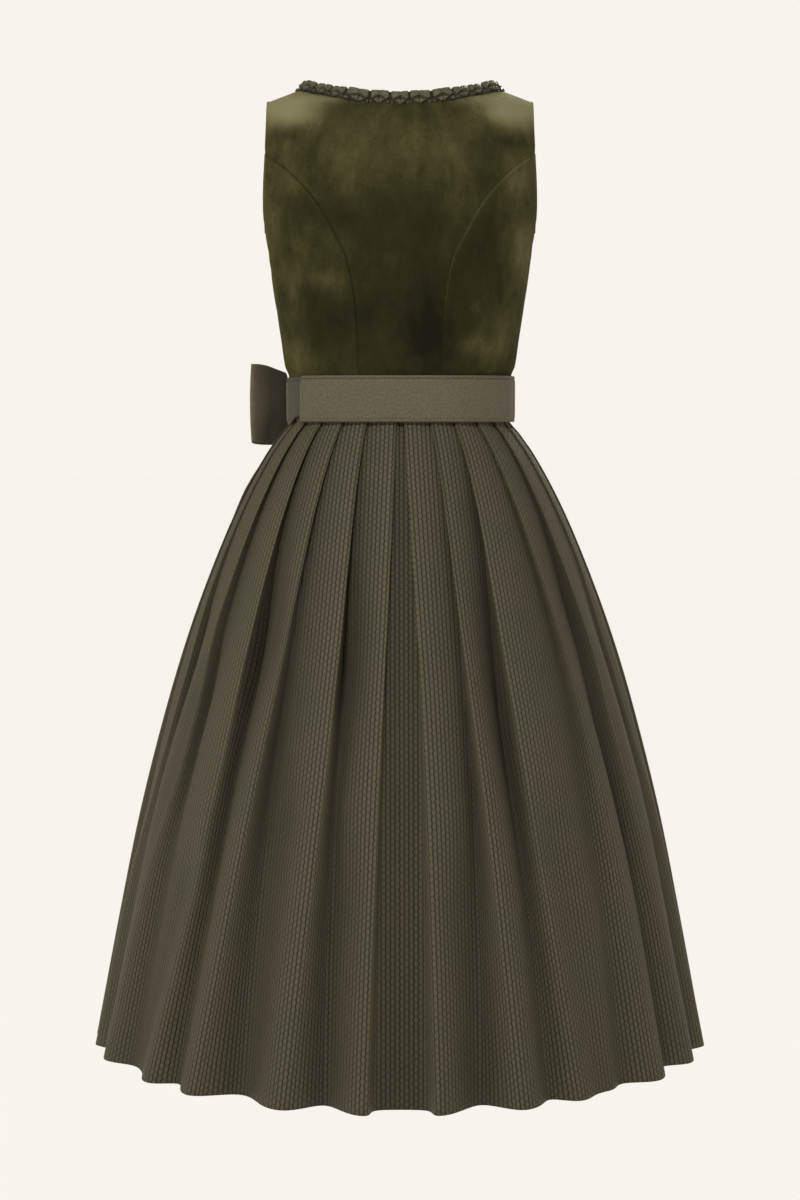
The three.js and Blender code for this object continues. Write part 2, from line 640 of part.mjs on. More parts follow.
// A loop of ribbon lying on its edge: the path runs out along one layer, round the end and back
// along the other. The layers' spread is widest near the end, and the height grows outwards.
function bowLoop({ x, y, aim, length, rootHeight, endHeight, endDrop, spread }) {
  const ahead = new THREE.Vector2(Math.cos(radians(aim)), Math.sin(radians(aim)));
  const beside = new THREE.Vector2(-ahead.y, ahead.x);
  const steps = 14;
  const path = [];
  for (let i = 0; i <= steps; i += 1) {
    const turn = (i / steps) * Math.PI;
    const out = Math.sin(turn) ** 0.8;
    const side = 2 + (spread - 2) * Math.sin(turn) ** 0.5;
    const sideways = Math.cos(turn) * side;
    path.push({ out, sideways });
  }
  const place = ({ out, sideways }, v) => {
    const half = mix(rootHeight, endHeight, out ** 0.55) / 2;
    const plan = ahead.clone().multiplyScalar(out * length).addScaledVector(beside, sideways);
    return new THREE.Vector3(x + plan.x, y + plan.y, KNOT.z - endDrop * out + v * half);
  };
  const outer = [-1, -0.35, 0.35, 1].map((v) => path.map((station) => place(station, v)));
  const inner = outer.map((row) => rowInset(row, APRON_WALL));
  return wallBody(outer, inner);
}

// A tail hanging from the knot, lying over the skirt and the apron.
function bowTail({ angle, drift, length, width, lift }) {
  const rows = 9;
  const top = KNOT.z - KNOT.height / 2 - 8;
  const outer = [];
  for (let i = 0; i < rows; i += 1) {
    const share = i / (rows - 1);
    const z = top - share * length * 0.88;
    const half = mix(width * 0.3, width / 2, Math.min(1, share * 5));
    const row = [-1, -0.33, 0.33, 1].map((u) => {
      const radius = column(SKIRT_RINGS, 'half', z);
      const turn = angle + drift * share + THREE.MathUtils.radToDeg((u * half) / radius);
      const bulge = 2.5 * (1 - u * u) * Math.min(1, share * 3);
      return skirtPoint(turn, z, -(lift + bulge + APRON_WALL + 6 * Math.min(1, share * 4)));
    });
    outer.push(row);
  }
  const inner = outer.map((row) => rowInset(row, APRON_WALL));
  return wallBody(outer, inner);
}

// ---------- the dress ----------

const dress = new THREE.Group();

function add(name, geometry, material) {
  const mesh = new THREE.Mesh(geometry, material);
  mesh.name = name;
  dress.add(mesh);
  return mesh;
}

add('bodice_back_centre', backCentrePanel(), velvet);
for (const [side, sign] of [['left', 1], ['right', -1]]) {
  add(`bodice_back_side_${side}`, sidePanel('back', BACK_PRINCESS, BACK_ARMHOLE, sign), velvet);
  add(`bodice_front_side_${side}`, sidePanel('front', FRONT_PRINCESS, FRONT_ARMHOLE, sign), velvet);
  add(`bodice_front_${side}`, frontPanel(sign), velvet);
}
add('neck_ruche', ruche(), ribbon);
add('skirt_back', skirtPanel(true), jacquard);
add('skirt_front', skirtPanel(false), jacquard);
add('apron_panel', apronPanel(), twill);
add('apron_waistband', bandPiece(WAISTBAND, BAND_WALL), twill);
add('apron_tie_back', bandPiece(TIE_BACK, BAND_WALL), twill);
add('apron_tie_left', bandPiece(TIE_LEFT, BAND_WALL), twill);

const knot = add('bow_knot', knotBody(), twill);
knot.position.set(KNOT.x, KNOT.y, KNOT.z);
knot.rotation.z = radians(KNOT.turn);
for (const loop of BOW_LOOPS) {
  add(loop.name, bowLoop(loop), twill);
}
for (const tail of BOW_TAILS) {
  add(tail.name, bowTail(tail), twill);
}

export default dress;
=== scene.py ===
"""Dirndl dress with its apron, filled out as worn. Metres, +Z up, the wearer faces -Y."""
import math

import bmesh
import bpy
import numpy as np
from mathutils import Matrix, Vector


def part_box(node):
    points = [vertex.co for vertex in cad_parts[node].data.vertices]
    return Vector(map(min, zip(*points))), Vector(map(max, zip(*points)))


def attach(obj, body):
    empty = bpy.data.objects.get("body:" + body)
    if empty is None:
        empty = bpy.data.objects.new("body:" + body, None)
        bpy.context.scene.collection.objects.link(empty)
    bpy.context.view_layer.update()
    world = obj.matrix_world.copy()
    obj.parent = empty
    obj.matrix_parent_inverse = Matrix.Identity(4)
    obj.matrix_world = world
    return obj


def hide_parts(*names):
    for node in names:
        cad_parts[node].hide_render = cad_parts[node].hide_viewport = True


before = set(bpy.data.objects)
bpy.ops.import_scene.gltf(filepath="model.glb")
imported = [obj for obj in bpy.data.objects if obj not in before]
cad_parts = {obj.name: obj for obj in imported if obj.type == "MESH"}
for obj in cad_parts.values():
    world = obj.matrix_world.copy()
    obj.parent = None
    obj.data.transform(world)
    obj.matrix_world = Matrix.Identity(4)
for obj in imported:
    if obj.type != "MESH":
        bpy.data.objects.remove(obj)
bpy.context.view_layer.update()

MM = 0.001


# ---------- sizes ----------

VELVET_WALL = 0.0018
SKIRT_WALL = 0.0011
TWILL_WALL = 0.0010
FORM_POWER = 2.25            # squareness of the body's rings: 2 is an ellipse
NECK_HALF = 0.118
NECK_TOP = 0.011
SHOULDER_HALF = 0.166
SHOULDER_SLOPE = 0.37
WAIST_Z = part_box("skirt_back")[1][2]
HEM_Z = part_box("skirt_back")[0][2]
APRON_HEM_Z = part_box("apron_panel")[0][2]
BAND_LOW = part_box("apron_tie_back")[0][2]
BAND_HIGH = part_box("apron_tie_back")[1][2]
UNDERARM_Z = -0.166
BACK_NECK = {"drop": 0.015, "power": 1.9, "cap": 0.045}
FRONT_NECK = {"drop": 0.150, "power": 2.3, "cap": 0.060}

# Rings of the bodice, mm: height, half width, depth behind and before the shoulder line.
BODICE_RINGS = {
    "z": [12, -30, -60, -110, -150, -166, -190, -245, -300, -335, -348, -376],
    "half": [174, 174.8, 175.3, 175.2, 172.6, 169.4, 165.7, 158.4, 150.1, 145.2, 140.5, 140.2],
    "back": [62, 81, 93, 105, 107.5, 107, 106, 102.5, 98.5, 96, 92.2, 92],
    "front": [45, 70, 88, 114, 130, 135, 138.5, 131, 115, 107, 102.8, 102],
}
# Princess seams and armhole edges, mm: height and distance from the middle.
BACK_PRINCESS = {
    "z": [-74, -79, -96, -115, -135, -155, -180, -203, -244, -292, -347, -376],
    "x": [167.6, 161, 139, 120, 103, 90.5, 77, 66, 57, 52.4, 50, 49],
}
FRONT_PRINCESS = {
    "z": [-102, -120, -150, -190, -245, -300, -376],
    "x": [158.2, 135, 108, 88, 70, 56, 48],
}
BACK_ARMHOLE = {
    "z": [-6, -30, -75, -110, -140, -152, -160, -166],
    "x": [166, 166, 167.6, 169.6, 170.3, 169.8, 169, 169.4],
}
FRONT_ARMHOLE = {
    "z": [-6, -30, -75, -110, -140, -152, -160, -166],
    "x": [166, 161, 157.5, 158.5, 162.5, 164.5, 166.8, 169.4],
}
# Rings of the skirt over its outermost folds, mm.
SKIRT_RINGS = {
    "z": [-375, -405, -418, -446, -509, -573, -668, -764, -893, -1023, -1190],
    "half": [139, 140.4, 149.5, 169.3, 203.8, 232.1, 267.6, 297, 330, 357, 390],
    "back": [90.5, 92, 99, 122, 162, 193, 231, 264, 302, 335, 371],
    "front": [98.5, 100, 108, 127, 162, 190, 224, 254, 288, 318, 350],
    "power": [2.25, 2.25, 2.2, 2.15, 2.08, 2.03, 2, 2, 2, 2, 2],
}
# Pleats of each half from the centre back: angle of the fold edge at waist, knee and hem, depth
# in mm behind that edge at knee and hem, and how far in mm its face overlaps at the top.
LEFT_PLEATS = [
    (0.7, 3.9, 5.1, 11, 17, 4), (14.3, 15.5, 19.5, 20, 22, 9), (27.6, 31.5, 38.5, 14, 26, 6),
    (42, 42.8, 50, 19, 20, 8), (56, 60, 68, 13, 18, 6), (70, 73, 80, 4, 12, 2),
    (84, 84, 88, 4, 16, 2), (98, 98, 100, 14, 18, 7), (111, 112, 113, 16, 20, 6),
    (125, 125, 127, 12, 17, 8), (138, 139, 140, 15, 21, 6), (152, 151, 152, 12, 16, 7),
    (165, 164, 165, 14, 18, 6),
]
RIGHT_PLEATS = [
    (0.7, 5, 5.6, 11, 17, 4), (13, 17, 20.7, 13, 24, 6), (25.8, 27.2, 32.5, 21, 20, 9),
    (40, 48, 52, 12, 22, 5), (55, 61, 66, 15, 20, 7), (69, 74, 79, 5, 14, 2),
    (84, 85, 88.5, 4, 16, 2), (98, 99, 101, 15, 20, 6), (111, 111, 114, 13, 18, 7),
    (125, 126, 126, 15, 20, 6), (138, 138, 139, 13, 17, 8), (152, 153, 152, 14, 19, 6),
    (165, 165, 166, 12, 17, 6),
]
# Soft creases of the skirt: angle above and below, height above and below, width and depth in
# mm, a trough when the depth is positive. Negative angles are on the wearer's right.
SKIRT_CREASES = [
    (-57, -62, -0.66, -1.02, 22, 7), (-33, -38, -0.80, -1.19, 26, 9), (-12, -12, -0.86, -1.19, 24, 8),
    (-70, -76, -0.56, -0.90, 20, 5), (-54, -50, -0.95, -1.05, 18, 6), (-44, -43, -0.88, -1.19, 20, -6),
    (10, 12, -0.84, -1.19, 24, 9), (25, 28, -0.78, -1.19, 26, 9), (58, 66, -0.64, -0.98, 22, 8),
    (47, 57, -0.86, -1.19, 24, 9), (34, 33, -0.56, -0.80, 14, 3), (73, 78, -0.60, -1.0, 24, 5),
    (105, 106, -0.7, -1.19, 26, 6), (131, 133, -0.62, -1.1, 22, 5), (-93, -94, -0.7, -1.19, 26, 6),
    (-119, -120, -0.64, -1.15, 22, 6), (-146, -145, -0.7, -1.19, 26, 6), (158, 159, -0.7, -1.19, 24, 5),
]


# ---------- helpers ----------

def column(table, name, z):
    """Smooth curve through a table's column at heights z: cubic pieces whose tangents are the
    harmonic mean of the slopes on both sides, and nothing where the slope changes sign."""
    zs = np.array(table["z"], float)[::-1] * MM
    vs = np.array(table[name], float)[::-1]
    slope = np.diff(vs) / np.diff(zs)
    before = np.concatenate([slope[:1], slope])
    after = np.concatenate([slope, slope[-1:]])
    total = before + after
    both = before * after
    tangent = np.where(both > 0, 2 * both / np.where(total == 0, 1, total), 0)
    h = np.clip(z, zs[0], zs[-1])
    i = np.clip(np.searchsorted(zs, h, side="right") - 1, 0, len(zs) - 2)
    span = zs[i + 1] - zs[i]
    t = (h - zs[i]) / span
    return ((2 * t**3 - 3 * t**2 + 1) * vs[i] + (t**3 - 2 * t**2 + t) * span * tangent[i]
            + (3 * t**2 - 2 * t**3) * vs[i + 1] + (t**3 - t**2) * span * tangent[i + 1])


def smooth(x, low, high):
    """0 below low, 1 above high, and 3t^2 - 2t^3 between."""
    t = np.clip((x - low) / (high - low), 0, 1)
    return t * t * (3 - 2 * t)


def bell(x, width):
    """Gaussian hill of height 1."""
    return np.exp(-(x / width) ** 2)


def powered(value, power):
    return np.sign(value) * np.abs(value) ** power


def unit(v):
    return v / np.maximum(np.linalg.norm(v, axis=-1, keepdims=True), 1e-12)


def grid_normals(p, towards):
    """Unit normals of a grid of points, turned so that most face away from the point towards."""
    n = unit(np.cross(np.gradient(p, axis=1), np.gradient(p, axis=0)))
    if np.sum(n * (p - towards)) < 0:
        n = -n
    return n


def along(p, axis):
    """Distance from the grid's first row or column to each point, along the surface."""
    step = np.linalg.norm(np.diff(p, axis=axis), axis=-1)
    pad = [(0, 0), (0, 0)]
    pad[axis] = (1, 0)
    return np.cumsum(np.pad(step, pad), axis=axis)


def grid_piece(name, p, uv, material, outward_from, wall, slot, closed=False, **layers):
    """Makes a mesh of a grid of points, rows first, with faces away from outward_from, a UV map
    in metres of cloth, and a wall that grows inwards. closed joins the last row to the first.
    Each layer is a value at every point, which the material reads by its name."""
    rows, cols = p.shape[:2]
    index = np.arange(rows * cols).reshape(rows, cols)
    if closed:
        index = np.vstack([index, index[:1]])
    quads = np.stack([index[:-1, :-1], index[:-1, 1:], index[1:, 1:], index[1:, :-1]], -1)
    a = p.reshape(-1, 3)[quads[..., 0]]
    b = p.reshape(-1, 3)[quads[..., 1]]
    c = p.reshape(-1, 3)[quads[..., 3]]
    facing = np.cross(b - a, c - a) * (a - outward_from)
    if facing.sum() < 0:
        quads = quads[..., ::-1]
    flat = quads.reshape(-1, 4)
    mesh = bpy.data.meshes.new(name)
    mesh.vertices.add(rows * cols)
    mesh.vertices.foreach_set("co", p.reshape(-1).astype(np.float32))
    mesh.loops.add(flat.size)
    mesh.loops.foreach_set("vertex_index", flat.reshape(-1).astype(np.int32))
    mesh.polygons.add(len(flat))
    mesh.polygons.foreach_set("loop_start", np.arange(0, flat.size, 4, dtype=np.int32))
    mesh.update(calc_edges=True)
    layer = mesh.uv_layers.new(name="cloth")
    layer.data.foreach_set("uv", uv.reshape(-1, 2)[flat.reshape(-1)].reshape(-1).astype(np.float32))
    mesh.polygons.foreach_set("use_smooth", np.ones(len(flat), dtype=bool))
    mesh.materials.append(material)
    for label, values in layers.items():
        layer = mesh.attributes.new(label, "FLOAT", "POINT")
        layer.data.foreach_set("value", np.broadcast_to(values, (rows, cols)).reshape(-1).astype(np.float32))
    piece = bpy.data.objects.new(name, mesh)
    bpy.context.scene.collection.objects.link(piece)
    if wall:
        solid = piece.modifiers.new("wall", "SOLIDIFY")
        solid.thickness = wall
        solid.offset = -1
    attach(piece, "root")
    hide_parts(name)
    return piece


def close_holes(mesh):
    """Joins doubled points, fills open ends and turns the faces outwards."""
    work = bmesh.new()
    work.from_mesh(mesh)
    bmesh.ops.remove_doubles(work, verts=work.verts, dist=1e-6)
    bmesh.ops.holes_fill(work, edges=[e for e in work.edges if e.is_boundary], sides=0)
    bmesh.ops.recalc_face_normals(work, faces=work.faces)
    work.to_mesh(mesh)
    work.free()


# ---------- shader groups and materials ----------

def node_group(name, inputs, outputs):
    """A shader node group with float inputs and outputs, given as name and default or kind."""
    group = bpy.data.node_groups.new(name, "ShaderNodeTree")
    for label, kind, default in inputs:
        socket = group.interface.new_socket(label, in_out="INPUT", socket_type=kind)
        if default is not None:
            socket.default_value = default
    for label, kind in outputs:
        group.interface.new_socket(label, in_out="OUTPUT", socket_type=kind)
    start = group.nodes.new("NodeGroupInput")
    end = group.nodes.new("NodeGroupOutput")
    return group, start, end


def maths(tree, operation, a, b=None, c=None):
    """One Math node; a, b and c are numbers or sockets."""
    node = tree.nodes.new("ShaderNodeMath")
    node.operation = operation
    for socket, value in zip(node.inputs, (a, b, c)):
        if value is None:
            continue
        if isinstance(value, (int, float)):
            socket.default_value = value
        else:
            tree.links.new(value, socket)
    return node.outputs[0]


def noise(tree, coords, scale, detail=3.0, roughness=0.55):
    node = tree.nodes.new("ShaderNodeTexNoise")
    node.inputs["Scale"].default_value = scale
    node.inputs["Detail"].default_value = detail
    node.inputs["Roughness"].default_value = roughness
    tree.links.new(coords, node.inputs["Vector"])
    return node.outputs["Fac"]


def ramp(tree, fac, low, high):
    """Map Range from low..high to 0..1, smooth and clamped."""
    node = tree.nodes.new("ShaderNodeMapRange")
    node.interpolation_type = "SMOOTHSTEP"
    node.inputs["From Min"].default_value = low
    node.inputs["From Max"].default_value = high
    tree.links.new(fac, node.inputs["Value"])
    return node.outputs["Result"]


def blend_colour(tree, fac, a, b):
    """Mix of two colours, each four numbers or a socket."""
    node = tree.nodes.new("ShaderNodeMix")
    node.data_type = "RGBA"
    tree.links.new(fac, node.inputs["Factor"])
    for socket, value in ((node.inputs[6], a), (node.inputs[7], b)):
        if isinstance(value, tuple):
            socket.default_value = value
        else:
            tree.links.new(value, socket)
    return node.outputs[2]


def rgb(r, g, b):
    """Linear colour of an sRGB colour in 0..255."""
    def line(v):
        v = v / 255
        return v / 12.92 if v <= 0.04045 else ((v + 0.055) / 1.055) ** 2.4
    return (line(r), line(g), line(b), 1.0)


def chain_weave():
    """Upright chains of oval cells, odd columns half a cell higher. In cell units, u across and
    v up from a cell's middle: the outline is where | 0.5 + 0.09 cos 2 pi v - |u| | is small, and
    a fainter join lies across each chain's narrow places."""
    group, start, end = node_group(
        "chain_weave",
        [("Vector", "NodeSocketVector", None), ("Pitch", "NodeSocketFloat", 0.0054),
         ("Repeat", "NodeSocketFloat", 0.0080)],
        [("Cell", "NodeSocketFloat"), ("Thread", "NodeSocketFloat")])
    t = group
    split = t.nodes.new("ShaderNodeSeparateXYZ")
    t.links.new(start.outputs["Vector"], split.inputs[0])
    u = maths(t, "DIVIDE", split.outputs["X"], start.outputs["Pitch"])
    v = maths(t, "DIVIDE", split.outputs["Y"], start.outputs["Repeat"])
    odd = maths(t, "FLOORED_MODULO", maths(t, "FLOOR", u), 2)
    fu = maths(t, "ABSOLUTE", maths(t, "SUBTRACT", maths(t, "FRACT", u), 0.5))
    fv = maths(t, "SUBTRACT", maths(t, "FRACT", maths(t, "MULTIPLY_ADD", odd, 0.5, v)), 0.5)
    wave = maths(t, "COSINE", maths(t, "MULTIPLY", fv, 2 * math.pi))
    edge = maths(t, "ABSOLUTE", maths(t, "SUBTRACT", maths(t, "MULTIPLY_ADD", wave, 0.09, 0.5), fu))
    outline = ramp(t, edge, 0.05, 0.24)
    away = maths(t, "ADD", maths(t, "SUBTRACT", 0.5, maths(t, "ABSOLUTE", fv)), fu)
    join = maths(t, "MULTIPLY_ADD", ramp(t, away, 0.02, 0.26), 0.5, 0.5)
    t.links.new(maths(t, "MULTIPLY", outline, join), end.inputs["Cell"])
    ribs = maths(t, "SINE", maths(t, "MULTIPLY", v, 2 * math.pi * 7))
    t.links.new(maths(t, "MULTIPLY_ADD", ribs, 0.5, 0.5), end.inputs["Thread"])
    return group


def twill_weave():
    """Fine diagonal ribs: a sine of the distance across lines at 45 degrees, broken by noise."""
    group, start, end = node_group(
        "twill_weave",
        [("Vector", "NodeSocketVector", None), ("Rib", "NodeSocketFloat", 0.0030)],
        [("Rib", "NodeSocketFloat"), ("Slub", "NodeSocketFloat")])
    t = group
    split = t.nodes.new("ShaderNodeSeparateXYZ")
    t.links.new(start.outputs["Vector"], split.inputs[0])
    diagonal = maths(t, "ADD", split.outputs["X"], split.outputs["Y"])
    turns = maths(t, "DIVIDE", diagonal, start.outputs["Rib"])
    wave = maths(t, "SINE", maths(t, "MULTIPLY", turns, 2 * math.pi))
    t.links.new(maths(t, "MULTIPLY_ADD", wave, 0.5, 0.5), end.inputs["Rib"])
    t.links.new(noise(t, start.outputs["Vector"], 700, 2), end.inputs["Slub"])
    return group


def base_material(name, roughness, sheen=0.0, sheen_tint=(1, 1, 1, 1), sheen_roughness=0.4):
    mat = bpy.data.materials.new(name)
    mat.use_nodes = True
    shader = mat.node_tree.nodes["Principled BSDF"]
    shader.inputs["Roughness"].default_value = roughness
    shader.inputs["Sheen Weight"].default_value = sheen
    shader.inputs["Sheen Tint"].default_value = sheen_tint
    shader.inputs["Sheen Roughness"].default_value = sheen_roughness
    shader.inputs["Specular IOR Level"].default_value = 0.25
    return mat, mat.node_tree, shader


def add_bump(tree, shader, height, distance, strength=1.0, normal=None):
    node = tree.nodes.new("ShaderNodeBump")
    node.inputs["Distance"].default_value = distance
    node.inputs["Strength"].default_value = strength
    tree.links.new(height, node.inputs["Height"])
    if normal:
        tree.links.new(normal, node.inputs["Normal"])
    tree.links.new(node.outputs["Normal"], shader.inputs["Normal"])
    return node.outputs["Normal"]


def with_painted_shade(tree, colour, dark, amount):
    """The colour drawn towards a dark one where the layer named deep is high: painted shade in
    folds, between gathers, in grooves and under edges.
    """
    layer = tree.nodes.new("ShaderNodeAttribute")
    layer.attribute_name = "deep"
    return blend_colour(tree, maths(tree, "MULTIPLY", layer.outputs["Fac"], amount), colour, dark)


def coordinates(tree, output):
    return tree.nodes.new("ShaderNodeTexCoord").outputs[output]


def velvet_material():
    """Dark olive velvet. Its paleness is a layer of the mesh, partly the pile's own mottling and partly
    painted light (paler top, shoulders and sides, painted shade low down), plus patches, strokes and
    grain of noise; the pile gives a fine bump and a greenish sheen."""
    mat, t, shader = base_material("velvet", 0.85, 0.30, rgb(150, 150, 70), 0.3)
    shader.inputs["Specular IOR Level"].default_value = 0.08
    place = coordinates(t, "Object")
    # Paleness of the mesh: the pile's mottling plus painted light and painted shade.
    nap = t.nodes.new("ShaderNodeAttribute")
    nap.attribute_name = "nap"
    stretch = t.nodes.new("ShaderNodeMapping")
    stretch.inputs["Scale"].default_value = (1.0, 1.0, 0.6)
    t.links.new(place, stretch.inputs["Vector"])
    patches = maths(t, "SUBTRACT", noise(t, stretch.outputs[0], 17, 4, 0.62), 0.5)
    strokes = maths(t, "SUBTRACT", noise(t, stretch.outputs[0], 75, 4, 0.65), 0.5)
    grain = maths(t, "SUBTRACT", noise(t, place, 800, 2), 0.5)
    level = maths(t, "MULTIPLY_ADD", patches, 0.6, nap.outputs["Fac"])
    level = maths(t, "MULTIPLY_ADD", strokes, 0.3, level)
    level = maths(t, "MULTIPLY_ADD", grain, 0.3, level)
    tones = t.nodes.new("ShaderNodeValToRGB")
    stops = tones.color_ramp
    stops.elements[0].position = 0.0
    stops.elements[0].color = rgb(24, 23, 8)
    stops.elements[1].position = 1.3 / 1.5
    stops.elements[1].color = rgb(122, 117, 86)
    for at, tone in ((0.32, rgb(45, 43, 20)), (0.5, rgb(66, 63, 35)), (0.8, rgb(100, 95, 64))):
        stops.elements.new(at / 1.5).color = tone
    t.links.new(maths(t, "DIVIDE", level, 1.5), tones.inputs["Fac"])
    t.links.new(tones.outputs["Color"], shader.inputs["Base Color"])
    pile = noise(t, place, 1400, 2)
    height = maths(t, "MULTIPLY_ADD", noise(t, place, 110, 3), 2.0, pile)
    add_bump(t, shader, height, 0.0004)
    return mat


def jacquard_material(group):
    """Brown-olive chains of oval cells with dark outlines, in slightly greener or browner bands, with
    painted shade in the folds.
    """
    mat, t, shader = base_material("skirt_jacquard", 0.72, 0.18, rgb(170, 160, 130), 0.5)
    uv = coordinates(t, "UV")
    weave = t.nodes.new("ShaderNodeGroup")
    weave.node_tree = group
    t.links.new(uv, weave.inputs["Vector"])
    band = ramp(t, noise(t, uv, 9, 2), 0.35, 0.65)
    speck = noise(t, uv, 900, 2)
    cell = weave.outputs["Cell"]
    thread = blend_colour(t, band, rgb(84, 77, 58), rgb(79, 77, 56))
    lit = blend_colour(t, maths(t, "MULTIPLY", speck, 0.5), thread, rgb(100, 94, 71))
    line = maths(t, "MULTIPLY", weave.outputs["Thread"], 0.18)
    woven = blend_colour(t, line, lit, rgb(58, 53, 40))
    # Painted shade: the cloth darkens where the mesh's deep layer marks a fold.
    whole = with_painted_shade(t, blend_colour(t, cell, rgb(42, 38, 27), woven), rgb(30, 27, 18), 0.50)
    t.links.new(whole, shader.inputs["Base Color"])
    height = maths(t, "MULTIPLY_ADD", weave.outputs["Thread"], 0.12, cell)
    add_bump(t, shader, height, 0.0009, 0.8)
    return mat


def twill_material(group, name, light, dark):
    """Olive twill: fine diagonal ribs over a mottled ground, with painted shade where the mesh's deep
    layer is high.
    """
    mat, t, shader = base_material(name, 0.62, 0.25, rgb(200, 190, 160), 0.4)
    uv = coordinates(t, "UV")
    weave = t.nodes.new("ShaderNodeGroup")
    weave.node_tree = group
    t.links.new(uv, weave.inputs["Vector"])
    mottled = ramp(t, noise(t, uv, 330, 4, 0.75), 0.40, 0.60)
    ground = blend_colour(t, mottled, dark, light)
    rib = maths(t, "MULTIPLY", weave.outputs["Rib"], 0.5)
    ribbed = blend_colour(t, rib, ground, tuple(v * 0.62 for v in dark[:3]) + (1.0,))
    slub = maths(t, "MULTIPLY", weave.outputs["Slub"], 0.4)
    whole = blend_colour(t, slub, ribbed, tuple(v * 1.35 for v in light[:3]) + (1.0,))
    # Painted shade: the twill darkens to a quarter of its dark tone where the deep layer is high.
    whole = with_painted_shade(t, whole, tuple(v * 0.25 for v in dark[:3]) + (1.0,), 0.8)
    t.links.new(whole, shader.inputs["Base Color"])
    height = maths(t, "ADD", weave.outputs["Rib"], weave.outputs["Slub"])
    add_bump(t, shader, height, 0.00035, 0.8)
    return mat


def ribbon_material():
    """Dark ribbed ribbon: fine ribs across its length, a soft gloss, and painted shade that turns its
    low places near black.
    """
    mat, t, shader = base_material("ruche_ribbon", 0.45, 0.3, rgb(190, 180, 150), 0.4)
    uv = coordinates(t, "UV")
    split = t.nodes.new("ShaderNodeSeparateXYZ")
    t.links.new(uv, split.inputs[0])
    rib = maths(t, "SINE", maths(t, "MULTIPLY", split.outputs["Y"], 2 * math.pi / 0.0011))
    tone = ramp(t, noise(t, uv, 160, 3), 0.3, 0.7)
    rise = t.nodes.new("ShaderNodeAttribute")
    rise.attribute_name = "rise"
    raised = blend_colour(t, tone, rgb(68, 64, 46), rgb(88, 83, 62))
    # Painted shade: the lower a place of the ribbon lies, the nearer its colour comes to near black.
    ground = blend_colour(t, ramp(t, rise.outputs["Fac"], 0.15, 0.95), rgb(22, 20, 11), raised)
    t.links.new(ground, shader.inputs["Base Color"])
    add_bump(t, shader, rib, 0.00012, 0.5)
    return mat


chain = chain_weave()
twill_group = twill_weave()
velvet = velvet_material()
jacquard = jacquard_material(chain)
twill = twill_material(twill_group, "apron_twill", rgb(99, 94, 74), rgb(75, 71, 53))
# A shaded copy of the apron twill, darker and greyer: painted shade for the tie strip that turns away round the
# side.
shaded_twill = twill_material(twill_group, "apron_twill_shaded", rgb(73, 70, 58), rgb(60, 58, 47))
bow_twill = twill_material(twill_group, "apron_twill_bow", rgb(106, 98, 79), rgb(84, 77, 61))
ribbon = ribbon_material()


# ---------- bodice ----------

def ridge_height(x):
    """Height of the shoulder line at distance x from the middle."""
    return NECK_TOP - SHOULDER_SLOPE * np.maximum(0, np.abs(x) - NECK_HALF)


def ring_angle(x, z):
    share = np.minimum(1, np.abs(x) / (column(BODICE_RINGS, "half", z) * MM))
    return np.sign(x) * np.arcsin(share ** (FORM_POWER / 2))


def bodice_point(face, angle, z):
    """Superellipse ring at height z; near the shoulder line its depth is rounded off as a
    quarter ellipse: y = depth cos^(2/n) sqrt(1 - (1 - fall)^2)."""
    half = column(BODICE_RINGS, "half", z) * MM
    depth = column(BODICE_RINGS, face, z) * MM
    neck = BACK_NECK if face == "back" else FRONT_NECK
    sine = np.abs(np.sin(angle)) ** (2 / FORM_POWER)
    cosine = np.abs(np.cos(angle)) ** (2 / FORM_POWER)
    cap = 0.004 + (neck["cap"] - 0.004) * smooth(half * sine, NECK_HALF / 4, NECK_HALF)
    fall = np.clip((ridge_height(half * sine) - z) / cap, 0, 1)
    y = depth * cosine * np.sqrt(1 - (1 - fall) ** 2)
    return np.stack([np.sign(angle) * half * sine, y if face == "back" else -y, z], -1)


def neckline(neck, count):
    """Superellipse arc from the middle to the strap's neck end, as x and z."""
    turn = np.linspace(0, np.pi / 2, count)
    x = NECK_HALF * np.sin(turn) ** (2 / neck["power"])
    z = NECK_TOP - neck["drop"] * np.maximum(np.cos(turn), 0) ** (2 / neck["power"])
    return np.stack([x, z], -1)


def neck_over(neck, x):
    """Height of the same arc over x, where |x / a|^p + |drop left|^p = 1."""
    left = np.clip(1 - np.abs(x / NECK_HALF) ** neck["power"], 0, 1) ** (1 / neck["power"])
    return NECK_TOP - neck["drop"] * left


def seam_line(table, low, high, count):
    z = np.linspace(low, high, count)
    return np.stack([column(table, "x", z) * MM, z], -1)


def mirrored(line):
    return line * [-1, 1]


def coons(bottom, top, left, right, reach=1.0):
    """Coons patch between four edges: up-down blend plus across blend less the corner blend. The
    top edge's departure from its chord dies away downwards as v^reach."""
    v = np.linspace(0, 1, len(left))[:, None, None]
    u = np.linspace(0, 1, len(bottom))[None, :, None]
    chord = (1 - u) * top[0] + u * top[-1]
    up = (1 - v) * bottom[None] + v * chord + v ** reach * (top[None] - chord)
    across = (1 - u) * left[:, None] + u * right[:, None]
    low = (1 - u) * bottom[0] + u * bottom[-1]
    high = (1 - u) * top[0] + u * top[-1]
    return up + across - ((1 - v) * low + v * high)


